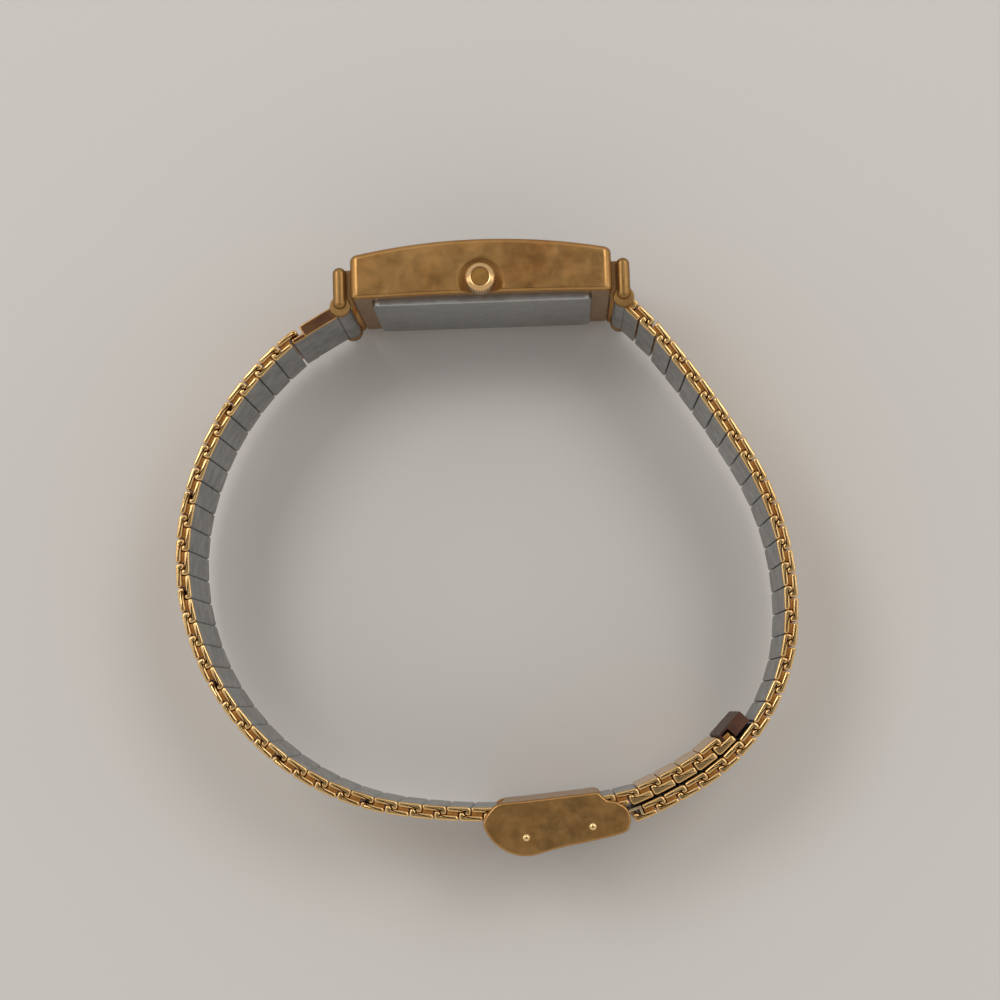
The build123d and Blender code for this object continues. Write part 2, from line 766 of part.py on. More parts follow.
magnet_top = plate_bottom + plate_thickness / 2 - side_gap
magnet_bottom = plate_bottom - stator_thickness
rotor = wheel_stack(rotor_place, (
    (pivot_radius, plate_top - side_gap, plate_top - side_gap - bridge_bottom),
    (rotor_magnet_radius, magnet_top, magnet_top - magnet_bottom),
    (gear_outline(rotor_pinion_teeth, rotor_module, rotor_bearing + 180 + 180 / rotor_pinion_teeth),
     third_level, wheel_thickness)))
save(rotor, "rotor")

minute_wheel = wheel_stack(minute_place, (
    (pivot_radius, hour_level, hour_level - plate_bottom - plate_thickness / 2),
    (gear_outline(minute_teeth, train_module, minute_bearing + 180 + 180 / minute_teeth),
     motion_level, wheel_thickness),
    (gear_outline(minute_pinion_teeth, train_module, minute_bearing + 180), hour_level,
     hour_level - motion_level + wheel_thickness)))
save(minute_wheel, "minute_wheel")

hour_wheel = wheel_stack((0, 0), (
    (gear_outline(hour_teeth, train_module, minute_bearing + 180 / hour_teeth), hour_level, wheel_thickness),
    (hour_pipe_radius, hour_hand_top, hour_hand_top - hour_level + wheel_thickness)), bore=hour_pipe_bore)
save(hour_wheel, "hour_wheel")


# Hands: a tapered leaf with a short tail, on a round boss
def hand(length, top, hole):
    boss = hole + hand_boss_wall
    with BuildPart() as leaf:
        with BuildSketch(level(top)):
            with BuildLine():
                Polyline((-hand_tail, -hand_width / 4), (hand_tail, -hand_width / 2), (length, 0),
                         (hand_tail, hand_width / 2), (-hand_tail, hand_width / 4), close=True)
            make_face()
            Circle(boss)
            Circle(hole, mode=Mode.SUBTRACT)
        extrude(amount=hand_thickness)
    return leaf.part


save(hand(hour_hand_length, hour_hand_top, hour_pipe_radius), "hour_hand")
save(hand(minute_hand_length, minute_hand_top, cannon_radius), "minute_hand")

# Crown tube in the case wall, long enough to hold the crown's gasket when the crown is pulled out
crown_low = case_width - crown_recess_depth + side_gap
crown_high = case_width + crown_height
gasket_low = crown_low + side_gap
tube_low = mid_z + movement_width / 2 + seat_gap
tube_high = gasket_low + crown_gasket_height + crown_travel
with BuildPart() as crown_tube:
    with BuildSketch(side(tube_low)):
        Circle(tube_radius)
        Circle(tube_bore, mode=Mode.SUBTRACT)
    extrude(amount=tube_high - tube_low)
save(crown_tube.part, "crown_tube")

# Crown: a fluted ring round a plain disc, bored to slide over the tube
gasket_bore = tube_radius + running_gap
gasket_seat = gasket_bore + crown_gasket_wall
cavity_high = tube_high + side_gap
with BuildPart() as crown:
    with BuildSketch(side(crown_low)):
        Circle(crown_radius)
    extrude(amount=crown_high - crown_low)
    chamfer(crown.faces().sort_by(Axis.Z)[-1].edges(), length=crown_edge_chamfer)
    with BuildSketch(side(crown_low)):
        with PolarLocations(crown_radius, crown_flute_count):
            Circle(flute_radius)
    extrude(amount=crown_high - crown_low, mode=Mode.SUBTRACT)
    with BuildSketch(side(crown_high - crown_disc_step)):
        Circle(crown_disc_radius + crown_disc_step)
        Circle(crown_disc_radius, mode=Mode.SUBTRACT)
    extrude(amount=crown_disc_step, mode=Mode.SUBTRACT)
    with BuildSketch(side(crown_low)):
        Circle(gasket_seat)
    extrude(amount=gasket_low + crown_gasket_height - crown_low, mode=Mode.SUBTRACT)
    with BuildSketch(side(crown_low)):
        Circle(tube_radius + side_gap)
    extrude(amount=cavity_high - crown_low, mode=Mode.SUBTRACT)
    with BuildSketch(side(cavity_high)):
        Circle(stem_radius)
    extrude(amount=stem_radius, mode=Mode.SUBTRACT)
save(crown.part, "crown")

with BuildPart() as crown_gasket:
    with BuildSketch(side(gasket_low)):
        Circle(gasket_seat)
        Circle(gasket_bore, mode=Mode.SUBTRACT)
    extrude(amount=crown_gasket_height)
save(crown_gasket.part, "crown_gasket")

# Winding stem with the groove that the setting lever sits in
stem_low = mid_z + stem_inner_z
stem_high = cavity_high + stem_radius
with BuildPart() as winding_stem:
    with BuildSketch(side(stem_low)):
        Circle(stem_radius)
    extrude(amount=stem_high - stem_low)
    with BuildSketch(side(mid_z + lever_z - stem_groove_width / 2)):
        Circle(stem_radius + overrun)
        Circle(stem_groove_radius, mode=Mode.SUBTRACT)
    extrude(amount=stem_groove_width, mode=Mode.SUBTRACT)
save(winding_stem.part, "winding_stem")

with BuildPart() as clutch_pinion:
    with BuildSketch(side(stem_low)):
        add(gear_outline(clutch_teeth, clutch_module, 0))
        make_face()
        Circle(stem_radius + running_gap, mode=Mode.SUBTRACT)
    extrude(amount=clutch_length)
save(clutch_pinion.part, "clutch_pinion")

# Setting lever: pivots on the main plate, its pin in the stem's groove
lever_top = plate_bottom - seat_gap
with BuildPart() as setting_lever:
    with BuildSketch(level(lever_top)):
        with Locations((-lever_reach / 2, lever_z)):
            SlotCenterToCenter(lever_reach, lever_width)
    extrude(amount=wheel_thickness)
    with BuildSketch(level(plate_bottom + plate_thickness / 4)):
        with Locations((-lever_reach, lever_z)):
            Circle(pivot_radius)
    extrude(amount=plate_thickness / 4 + seat_gap)
    with BuildSketch(level(-stem_groove_radius - running_gap)):
        with Locations((0, lever_z)):
            Circle(lever_pin_radius)
    extrude(amount=-stem_groove_radius - running_gap - lever_top)
save(setting_lever.part, "setting_lever")


# Lugs: two upright bars with an eye for the spring bar, on a recessed foot against the case end
def lug_pair(end):
    with BuildPart() as pair:
        for low in (band_high + side_gap, band_low - side_gap - lug_thickness):
            with BuildSketch(side(low)):
                with Locations((end * lug_x, (lug_top + bar_y) / 2)):
                    SlotOverall(lug_top - bar_y + lug_bar / 2, lug_bar, rotation=90)
                with Locations((end * lug_x, bar_y)):
                    Circle(lug_eye_radius)
            extrude(amount=lug_thickness)
            with BuildSketch(side(low + lug_foot_inset)):
                with Locations((end * (half_case + lug_gap / 2 + lug_bar / 8), 0)):
                    Rectangle(lug_gap + lug_bar / 4, lug_foot_height)
            extrude(amount=lug_thickness - 2 * lug_foot_inset)
            with BuildSketch(side(low)):
                with Locations((end * lug_x, bar_y)):
                    Circle(bar_pivot_radius)
            extrude(amount=lug_thickness, mode=Mode.SUBTRACT)
    return pair.part


def spring_bar(end):
    low = band_low - side_gap
    high = band_high + side_gap
    with BuildPart() as bar:
        with BuildSketch(side(low + seat_gap)):
            with Locations((end * lug_x, bar_y)):
                Circle(bar_radius)
        extrude(amount=high - low - 2 * seat_gap)
        with BuildSketch(side(low - bar_pivot_reach)):
            with Locations((end * lug_x, bar_y)):
                Circle(bar_pivot_radius)
        extrude(amount=high - low + 2 * bar_pivot_reach)
    return bar.part


for end, place in ((1, "upper"), (-1, "lower")):
    save(lug_pair(end), f"{place}_lugs")
    save(spring_bar(end), f"{place}_spring_bar")


# Band links: channels of bent strip, the outer ones open inward and the inner ones open outward,
# half a pitch apart, each hooked into its two neighbours
def channel(half_length, outer, first_wall=True, last_wall=True):
    """Outline of one channel in its own frame, its back at half the band thickness."""
    inside = half_band - strip_thickness
    tip = half_band - hook_depth
    points = []
    if first_wall:
        points += [(-half_length + strip_thickness, inside), (-half_length + strip_thickness, tip),
                   (-half_length, tip)]
    else:
        points += [(-half_length, inside)]
    points += [(-half_length, half_band - cap_corner), (-half_length + cap_corner, half_band),
               (half_length - cap_corner, half_band), (half_length, half_band - cap_corner)]
    if last_wall:
        points += [(half_length, tip), (half_length - strip_thickness, tip),
                   (half_length - strip_thickness, inside)]
    else:
        points += [(half_length, inside)]
    return [(t, n if outer else -n) for t, n in points]


def placed(path, distance, outward, points):
    """Points of a link's own frame, moved to their place along the band."""
    point, heading = along(path, distance)
    return [frame_point(point, heading, outward, t, n) for t, n in points]


def link_outlines(path, pitch, outward, first, count, last_inner=True):
    half_length = (pitch - link_gap) / 2
    outlines = []
    for link in range(first, first + count):
        outlines.append(placed(path, (link + 0.5) * pitch, outward, channel(half_length, True)))
        if last_inner or link < first + count - 1:
            outlines.append(placed(path, (link + 1) * pitch, outward, channel(half_length, False)))
    return outlines


def band_prisms(outlines):
    with BuildPart() as prisms:
        with BuildSketch(side(band_low)):
            for outline in outlines:
                with BuildLine():
                    Polyline(*outline, close=True)
                make_face()
        extrude(amount=band_width)
    return prisms.part


for place, path, pitch, outward, counts in (
        ("lower", lower_path, lower_pitch, -1, lower_section_counts),
        ("upper", upper_path, upper_pitch, 1, upper_section_counts)):
    first = 0
    for number, count in enumerate(counts):
        last_inner = place == "lower" or number < len(counts) - 1
        outlines = link_outlines(path, pitch, outward, first, count, last_inner)
        save(band_prisms(outlines), f"{place}_band_{number + 1}")
        first += count
save(band_prisms(link_outlines(clasp_path, clasp_pitch, -1, 0, clasp_link_count)), "band_in_clasp")
save(band_prisms(link_outlines(tail_path, tail_pitch, -1, 0, tail_link_count, False)), "band_tail")


# End pieces: a barrel on the spring bar, a flat box, and a lip hooked into the first link
def end_piece(bar, angle, length, path, pitch, outward):
    half_length = (pitch - link_gap) / 2
    half_box = end_box_share * half_band
    box = [(0, -half_box), (0, half_box), (length - link_gap, half_box), (length - link_gap, -half_box)]
    lip = channel(half_length, False, first_wall=False)
    with BuildPart() as piece:
        with BuildSketch(side(band_low)):
            with Locations(bar):
                Circle(end_barrel_radius)
            for outline in ([frame_point(bar, angle, outward, t, n) for t, n in box],
                            placed(path, 0, outward, lip)):
                with BuildLine():
                    Polyline(*outline, close=True)
                make_face()
            with Locations(bar):
                Circle(bar_radius + running_gap, mode=Mode.SUBTRACT)
        extrude(amount=band_width)
    return piece.part


lower_end = end_piece(lower_bar, lower_end_angle, lower_end_length, lower_path, lower_pitch, -1)
save(lower_end, "lower_end_piece")
upper_end = end_piece(upper_bar, upper_end_angle, upper_end_length, upper_path, upper_pitch, 1)
save(upper_end, "upper_end_piece")

# Plain box that finishes the tail, with a lip hooked into the last link
tail_half = (tail_pitch - link_gap) / 2
tail_box = [(link_gap / 2, -half_band), (link_gap / 2, half_band), (tail_end_length, half_band * end_box_share),
            (tail_end_length, -half_band)]
with BuildPart() as tail_end:
    with BuildSketch(side(band_low)):
        for outline in (tail_box, channel(tail_half, False, last_wall=False)):
            with BuildLine():
                Polyline(*placed(tail_path, tail_link_count * tail_pitch, -1, outline), close=True)
            make_face()
    extrude(amount=band_width)
save(tail_end.part, "tail_end")

# Clasp: two side plates joined by a base on the wrist side
base_from = base_from_share * clasp_length
base_to = base_to_share * clasp_length
base_sag = max(-base_from, base_to) ** 2 / (2 * clasp_radius)
clasp_top_v = -(half_band + base_sag + running_gap + clasp_base)
lever_pin = clasp_point(lever_pin_u, half_band + lever_pin_stand)
hook_pin = clasp_point(hook_pin_u, half_band + hook_pin_stand)
plate_low = band_low - side_gap - clasp_plate
plate_high = band_high + side_gap
clasp_outline = [clasp_point(u * clasp_length, clasp_top_v + v * clasp_depth)
                 for u, v in clasp_outline_shares]
base_outline = [clasp_point(u, v) for u, v in (
    (base_from, clasp_top_v), (base_to, clasp_top_v), (base_to, clasp_top_v + clasp_base),
    (base_from, clasp_top_v + clasp_base))]
with BuildPart() as clasp_body:
    for low in (plate_low, plate_high):
        with BuildSketch(side(low)):
            with BuildLine():
                Polyline(*clasp_outline, close=True)
            make_face()
        extrude(amount=clasp_plate)
    for face in (clasp_body.faces().sort_by(Axis.Z)[-1], clasp_body.faces().sort_by(Axis.Z)[0]):
        chamfer(face.edges(), length=clasp_edge_round)
    with BuildSketch(side(plate_low)):
        with BuildLine():
            Polyline(*base_outline, close=True)
        make_face()
    extrude(amount=plate_high - plate_low)
    with BuildSketch(side(0)):
        with Locations(lever_pin, hook_pin):
            Circle(clasp_pin_radius)
    extrude(amount=case_width, mode=Mode.SUBTRACT)
save(clasp_body.part, "clasp_body")

# The two pins, headed outside the plates
with BuildPart() as clasp_pins:
    with BuildSketch(side(plate_low)):
        with Locations(lever_pin, hook_pin):
            Circle(clasp_pin_radius)
    extrude(amount=plate_high + clasp_plate - plate_low)
    for low in (plate_low - clasp_pin_proud, plate_high + clasp_plate):
        with BuildSketch(side(low)):
            with Locations(lever_pin, hook_pin):
                Circle(clasp_pin_head)
        extrude(amount=clasp_pin_proud)
save(clasp_pins.part, "clasp_pins")

# Locking lever: a flap that folds flat between the plates, with a cam over the band
flap_pin_v = half_band + lever_pin_stand
cam_v = half_band + running_gap + cam_radius
flap_points = (
    (-flap_hub_radius, 0), (-flap_hub_radius, flap_rise - flap_thickness), (-flap_hub_radius / 2, flap_rise),
    (flap_length, flap_end_rise), (flap_length, flap_end_rise - flap_thickness),
    (flap_hub_radius, flap_rise - flap_thickness), (flap_hub_radius, 0))
with BuildPart() as clasp_lever:
    with BuildSketch(side(band_low)):
        with BuildLine():
            Polyline(*[clasp_point(lever_pin_u + u, flap_pin_v + v) for u, v in flap_points], close=True)
        make_face()
        with Locations(lever_pin):
            Circle(flap_hub_radius)
        with Locations(clasp_point(lever_pin_u, cam_v)):
            Circle(cam_radius)
        with Locations(lever_pin):
            Circle(clasp_pin_radius + running_gap, mode=Mode.SUBTRACT)
    extrude(amount=band_width)
save(clasp_lever.part, "clasp_lever")

# Hook at the end of the upper band: hangs in the last link and lies over the hook pin
finish = path_length(upper_path)
finish_point, finish_heading = along(upper_path, finish)
away = math.radians(finish_heading)
pin_dx = hook_pin[0] - finish_point[0]
pin_dy = hook_pin[1] - finish_point[1]
pin_t = pin_dx * math.cos(away) + pin_dy * math.sin(away)
pin_n = -pin_dx * math.sin(away) + pin_dy * math.cos(away)
hook_half = (upper_pitch - link_gap) / 2
hook_seat = pin_n + clasp_pin_radius + running_gap
hook_points = (
    (-hook_half + strip_thickness, -half_band + hook_depth), (-hook_half, -half_band + hook_depth),
    (-hook_half, -half_band), (link_gap, -half_band), (pin_t - 2 * clasp_pin_radius - running_gap, hook_seat),
    (pin_t + hook_overreach, hook_seat), (pin_t + hook_overreach, hook_seat + hook_thickness),
    (pin_t - 2 * clasp_pin_radius - running_gap, hook_seat + hook_thickness),
    (link_gap, -half_band + strip_thickness), (-hook_half + strip_thickness, -half_band + strip_thickness))
with BuildPart() as band_hook:
    with BuildSketch(side(band_low)):
        with BuildLine():
            Polyline(*placed(upper_path, finish, 1, hook_points), close=True)
        make_face()
        with Locations(hook_pin):
            Circle(clasp_pin_radius + running_gap, mode=Mode.SUBTRACT)
    extrude(amount=band_width)
save(band_hook.part, "band_hook")
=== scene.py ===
import json
import math
import bmesh
import bpy
from mathutils import Euler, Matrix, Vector


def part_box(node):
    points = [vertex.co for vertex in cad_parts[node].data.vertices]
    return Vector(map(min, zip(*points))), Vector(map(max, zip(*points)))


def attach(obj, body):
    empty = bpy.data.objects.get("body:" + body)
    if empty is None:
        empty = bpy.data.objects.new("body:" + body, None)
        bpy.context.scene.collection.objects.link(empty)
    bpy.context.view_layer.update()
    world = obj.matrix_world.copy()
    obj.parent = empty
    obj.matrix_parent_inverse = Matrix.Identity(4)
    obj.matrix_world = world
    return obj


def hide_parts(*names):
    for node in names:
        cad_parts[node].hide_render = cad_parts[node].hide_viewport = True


mm = 0.001

# Photo's camera, in the part's frame
camera_place = Vector((6.173, -43.075, 227.668)) * mm
camera_turn = (5.653, 1.515, -1.768)
camera_lens = 77.0
camera_sensor = 36.0
camera_clip = 0.005

# Band pieces as bent strip
strip_thickness = 0.53 * mm
full_hook_depth = 0.83 * mm
full_hook_width = 0.54 * mm
inner_slack = 0.12 * mm
outer_slack = 0.22 * mm
hook_corner = 0.36 * mm
tip_corner = 0.22 * mm
tip_share = 0.45
fold_corner = 0.10 * mm
end_corner = 0.14 * mm
strip_rim = 0.17 * mm
half_band = 0.695 * mm
back_corner = 0.16 * mm
back_inset = 0.005 * mm
piece_reach = 0.075 * mm
skin_share = 0.6
tail_backing = 0.22 * mm
loop_centre = Vector((0.0, -27.0)) * mm

# Dark brown filling beside an outer strip's hook, painted shade that stands in for the shade in the hollow
core_depth = 0.32 * mm
core_rim = 0.02 * mm
core_hook_gap = 0.15 * mm
core_end_gap = 0.08 * mm
core_overlap = 0.05 * mm

# Reading the channels of a CAD node
foot_depth = 0.1 * mm
side_depth = 0.02 * mm

# Case shell; each opening has its half length, half width and corner radius
case_corner = 0.8 * mm
case_least_corner = 0.3 * mm
case_top_round = 0.5 * mm
case_foot_round = 0.4 * mm
case_bottom_bow = 0.2 * mm
case_end_height = 4.4 * mm
case_crease = 14
bezel_lip = 0.08 * mm
bezel_opening = (10.6 * mm, 6.5 * mm, 0.1 * mm)
window_opening = (9.6 * mm, 5.5 * mm, 0.6 * mm)
bay_opening = (10.33 * mm, 6.93 * mm, 0.6 * mm)
back_opening = (11.08 * mm, 7.18 * mm, 0.8 * mm)
crystal_thickness = 1.0 * mm
dial_seat = 2.0 * mm
back_seat = -1.2 * mm
tube_bore = 0.85 * mm
corner_parts = 12
long_side_parts = 28
short_side_parts = 6
side_shares = (0.25, 0.5, 0.75)
edge_parts = 8

# Recess round the crown, and its profile in shares of its radius and depth
recess_radius = 2.1 * mm
recess_depth = 0.14 * mm
recess_profile = ((0.72, 1.0), (0.82, 0.87), (0.92, 0.55), (1.02, 0.2), (1.14, -0.2))
cutter_rise = 1 * mm

# End pieces; each plate runs from one distance to another along its piece, and from a depth on the
# inner side to a height on the outer side
end_start = 0.75 * mm
end_half_box = 0.92 * half_band
end_skin = 0.1 * mm
end_rim = 0.12 * mm
end_barrel = 0.92 * mm
lower_bar = Vector((-14.275, -1.85)) * mm
lower_angle = 209.4
lower_length = 5.0 * mm
lower_plates = (
    (end_start, lower_length - 0.4 * mm, end_half_box, end_half_box),
    (lower_length - 0.6 * mm, lower_length + 0.95 * mm, half_band, strip_thickness - half_band))
upper_bar = Vector((14.275, -1.85)) * mm
upper_angle = -46.0
upper_plates = (
    (end_start, 2.57 * mm, half_band, strip_thickness - half_band),
    (end_start, 1.5 * mm, half_band - strip_thickness, half_band))
# Links of the upper one: middle, half length and whether it is an outer strip
upper_links = ((2.725 * mm, 1.125 * mm, True), (3.81 * mm, 1.14 * mm, False))

# Lugs
lug_bar = 1.35 * mm
lug_spacing = 12.7 * mm
lug_eye_radius = 1.05 * mm
lug_eye_y = -1.85 * mm
lug_eye_step = 0.45 * mm
lug_bar_flat = 0.01 * mm
lug_bar_rim = 0.56 * mm
lug_rim = 0.15 * mm
lug_arm_sink = 0.7 * mm
lug_arm_drop = 0.25 * mm
lug_arm_corner = 0.2 * mm
lug_arm_root = 0.2 * mm
lug_arm_step = 0.1 * mm

# Crown, with the rounding of its fluted rim as (inward, down from the top, share of the flutes)
crown_disc = 0.87 * mm
crown_step = 0.12 * mm
crown_flute = 0.07 * mm
crown_flutes = 32
crown_segments = 192
crown_bore_gap = 0.02 * mm
crown_foot_round = 0.12 * mm
crown_rim = ((0.0, 0.45, 1.0), (0.03, 0.34, 0.6), (0.10, 0.24, 0.3), (0.22, 0.15, 0.0), (0.40, 0.06, 0.0))
crown_lip = ((0.16, 0.0), (0.06, 0.02))
disc_gap = 0.03 * mm
disc_edge = 0.06 * mm
disc_edge_shares = (2.0, 0.6, 0.4)

# Clasp, in its own frame: u along it and v outward
clasp_middle = Vector((5.8, -52.75)) * mm
clasp_tilt = math.radians(5.0)
clasp_length = 14.45 * mm
clasp_depth = 5.43 * mm
clasp_top = -1.343 * mm
clasp_plate = 0.6 * mm
clasp_base = 0.35 * mm
clasp_rim = 0.22 * mm
clasp_inner_rim = 0.05 * mm
clasp_base_rim = 0.02 * mm
clasp_base_corner = 0.1 * mm
clasp_trim = 0.012 * mm
clasp_outline = (
    (-0.455, 0.12), (-0.380, 0.0), (-0.2, 0.0), (0.15, 0.0), (0.285, 0.0), (0.322, 0.075),
    (0.358, 0.165), (0.415, 0.21), (0.474, 0.33), (0.497, 0.48), (0.485, 0.66), (0.412, 0.80),
    (0.0, 0.92), (-0.218, 1.0), (-0.352, 0.90), (-0.446, 0.69), (-0.500, 0.43), (-0.500, 0.28))
clasp_base_ends = (-0.370, 0.300)
clasp_pins = ((-3.23 * mm, 2.25 * mm), (3.38 * mm, 1.94 * mm))
pin_head = 0.34 * mm
pin_shank = 0.3 * mm
pin_proud = 0.12 * mm
pin_dome = ((0.01, 0.0), (0.14, 0.01), (0.26, 0.05))
pin_crease = 50

# Meshes
axis_radius = 0.01 * mm
least_corner_share = 0.6
weld_distance = 0.001 * mm
soft_edge = 0.03 * mm
soft_edges = {"tail_end": 0.12 * mm, "clasp_lever": 0.12 * mm, "band_hook": 0.08 * mm, "crystal": 0.08 * mm}
crease = 35

# Grain of the materials, and the reach of the painted shade in the steel's hollows
cloud_size = 4.0 * mm
speck_size = 0.9 * mm
stain_size = 2.2 * mm
sheen_size = 1.5 * mm
steel_cloud_size = 2.0 * mm
steel_sheen_size = 0.7 * mm
steel_hollow_shade_reach = 0.8 * mm
brushing_size = 0.15 * mm
brushing_depth = 0.01 * mm
plastic_cloud_size = 1.2 * mm
plastic_shade = 0.7
dial_rays = 40.0

# Room: floor, lamps as (name, place, width, height, power) and the strength of the light from the sky
floor_size = 3.0
lamp_target = Vector((0, -0.03, 0))
lamps = (
    ("key", (-0.37, 0.27, 0.67), 0.3, 0.3, 1.5),
    ("second", (0.34, 0.27, 0.67), 0.3, 0.3, 1.1),
    ("left", (-0.85, 0.0, 0.42), 0.3, 0.2, 0.4),
    ("right", (0.85, 0.05, 0.42), 0.3, 0.2, 0.4))
room_colour = (1.0, 0.98, 0.95, 1)
room_fade = {"From Min": 0.86, "From Max": 0.97, "To Min": 0.80, "To Max": 0.14}

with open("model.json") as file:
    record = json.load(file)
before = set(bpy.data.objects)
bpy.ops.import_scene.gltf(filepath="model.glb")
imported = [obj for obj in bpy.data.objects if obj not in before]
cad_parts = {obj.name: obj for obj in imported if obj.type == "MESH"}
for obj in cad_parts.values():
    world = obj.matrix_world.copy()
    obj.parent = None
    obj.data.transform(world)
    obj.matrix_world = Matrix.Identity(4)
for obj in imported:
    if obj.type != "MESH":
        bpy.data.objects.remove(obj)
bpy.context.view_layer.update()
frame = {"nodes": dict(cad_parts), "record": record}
nodes = frame["nodes"]
record = frame["record"]
node_body = {node: body for body, group in record["behaviour"]["bodies"].items() for node in group}


# Materials
class Paint:
    def __init__(self, name):
        self.material = bpy.data.materials.new(name)
        self.material.use_nodes = True
        self.tree = self.material.node_tree
        self.shader = self.tree.nodes["Principled BSDF"]

    def set(self, **values):
        for key, value in values.items():
            self.shader.inputs[key.replace("_", " ")].default_value = value

    def fill(self, socket, value):
        if isinstance(value, bpy.types.NodeSocket):
            self.tree.links.new(value, socket)
        else:
            socket.default_value = value

    def node(self, kind, inputs=None, **settings):
        made = self.tree.nodes.new(kind)
        for key, value in settings.items():
            setattr(made, key, value)
        for key, value in (inputs or {}).items():
            self.fill(made.inputs[key], value)
        return made

    def where(self):
        """Position on the part in metres."""
        return self.node("ShaderNodeTexCoord").outputs["Object"]

    def noise(self, size, stretch=(1, 1, 1), detail=3.0):
        mapping = self.node("ShaderNodeMapping", {"Vector": self.where(), "Scale": stretch})
        made = self.node("ShaderNodeTexNoise", {
            "Vector": mapping.outputs["Vector"], "Scale": 1 / size, "Detail": detail, "Roughness": 0.6})
        return made.outputs["Fac"]

    def ramp(self, value, low, high, start=0.0, end=1.0):
        made = self.node("ShaderNodeMapRange", {
            "Value": value, "From Min": low, "From Max": high, "To Min": start, "To Max": end})
        return made.outputs["Result"]

    def mix(self, share, a, b):
        made = self.node("ShaderNodeMix", data_type="RGBA", blend_type="MIX")
        for index, value in ((0, share), (6, a), (7, b)):
            self.fill(made.inputs[index], value)
        return made.outputs[2]

    def maths(self, operation, a, b):
        return self.node("ShaderNodeMath", {0: a, 1: b}, operation=operation).outputs[0]

    def hollow_shade(self, distance):
        """Ambient occlusion, the mask of painted shade: 1 in the open and 0 deep in a corner."""
        return self.node("ShaderNodeAmbientOcclusion", {"Distance": distance}, samples=12).outputs["AO"]

    def drive(self, name, socket):
        self.tree.links.new(socket, self.shader.inputs[name])

    def brushed(self, strength):
        grain = self.noise(brushing_size, (0.05, 1, 1), 2.0)
        made = self.node("ShaderNodeBump", {
            "Height": grain, "Strength": strength, "Distance": brushing_depth})
        self.drive("Normal", made.outputs["Normal"])


def rgb(red, green, blue):
    return (red, green, blue, 1.0)


# Colours; the hollow colours are painted shade for the hollows, the others are the metals' own tones and
# tarnish
gold_light = rgb(0.54, 0.315, 0.115)
gold_warm = rgb(0.43, 0.215, 0.065)
gold_tarnish = rgb(0.28, 0.11, 0.03)
gold_hollow_shade = rgb(0.42, 0.18, 0.035)
case_light = rgb(0.41, 0.226, 0.080)
case_warm = rgb(0.33, 0.165, 0.052)
case_hollow_shade = rgb(0.20, 0.088, 0.022)
steel_light = rgb(0.40, 0.40, 0.39)
steel_dark = rgb(0.24, 0.24, 0.235)


def plated(name, light, worn, rough, tarnish, hollow_shade=gold_hollow_shade, reach=0.9 * mm, stains=(), metal=1.0):
    """Gold-coloured plating: cloudy wear, painted shade in its hollows (a darker, less metallic colour where
    the ambient occlusion is low) and, if asked for, stains round given places. Tarnish is the share of the
    wear, and reach how far the painted shade in a hollow goes."""
    paint = Paint(name)
    paint.set(Roughness=rough, Specular_IOR_Level=0.5 * metal)
    clouds = paint.ramp(paint.noise(cloud_size), 0.40, 0.66, 0.0, tarnish)
    specks = paint.ramp(paint.noise(speck_size), 0.45, 0.75, 0.0, tarnish * 0.5)
    base = paint.mix(clouds, light, worn)
    base = paint.mix(specks, base, worn)
    for place, radius in stains:
        away = paint.node("ShaderNodeVectorMath", {0: paint.where(), 1: place}, operation="DISTANCE")
        near = paint.ramp(away.outputs["Value"], radius, 0.25 * radius)
        patch = paint.maths("MULTIPLY", near, paint.ramp(paint.noise(stain_size), 0.30, 0.65))
        base = paint.mix(paint.ramp(patch, 0.0, 1.0, 0.0, 0.6), base, gold_tarnish)
    # Painted shade: where the ambient occlusion is low the colour turns to the hollow colour and the metal
    # weakens
    depth = paint.ramp(paint.hollow_shade(reach), 0.30, 0.85)
    paint.drive("Base Color", paint.mix(depth, hollow_shade, base))
    paint.drive("Metallic", paint.ramp(depth, 0.0, 1.0, 0.25 * metal, metal))
    paint.drive("Roughness", paint.ramp(paint.noise(sheen_size), 0.3, 0.7, rough * 0.85, rough * 1.2))
    return paint.material


def steel(name, light, dark, rough, brushing=0.0):
    """Bare metal with a cloudy surface, painted shade of its dark colour in its hollows and, if asked for, a
    brushed grain.
    """
    paint = Paint(name)
    paint.set(Metallic=1.0, Roughness=rough)
    base = paint.mix(paint.ramp(paint.noise(steel_cloud_size), 0.35, 0.7), light, dark)
    # Painted shade: the dark colour fills the hollows
    depth = paint.ramp(paint.hollow_shade(steel_hollow_shade_reach), 0.3, 0.8)
    paint.drive("Base Color", paint.mix(depth, dark, base))
    grain = paint.noise(steel_sheen_size)
    paint.drive("Roughness", paint.ramp(grain, 0.3, 0.7, rough * 0.8, rough * 1.25))
    if brushing:
        paint.brushed(brushing)
    return paint.material


def plastic(name, colour, rough):
    paint = Paint(name)
    paint.set(Roughness=rough)
    shade = rgb(*[plastic_shade * c for c in colour[:3]])
    clouds = paint.ramp(paint.noise(plastic_cloud_size), 0.35, 0.7, 0.0, 0.5)
    paint.drive("Base Color", paint.mix(clouds, colour, shade))
    return paint.material


def glass(name):
    paint = Paint(name)
    paint.set(Roughness=0.02, IOR=1.5, Transmission_Weight=1.0, Base_Color=rgb(0.97, 0.985, 0.98))
    return paint.material


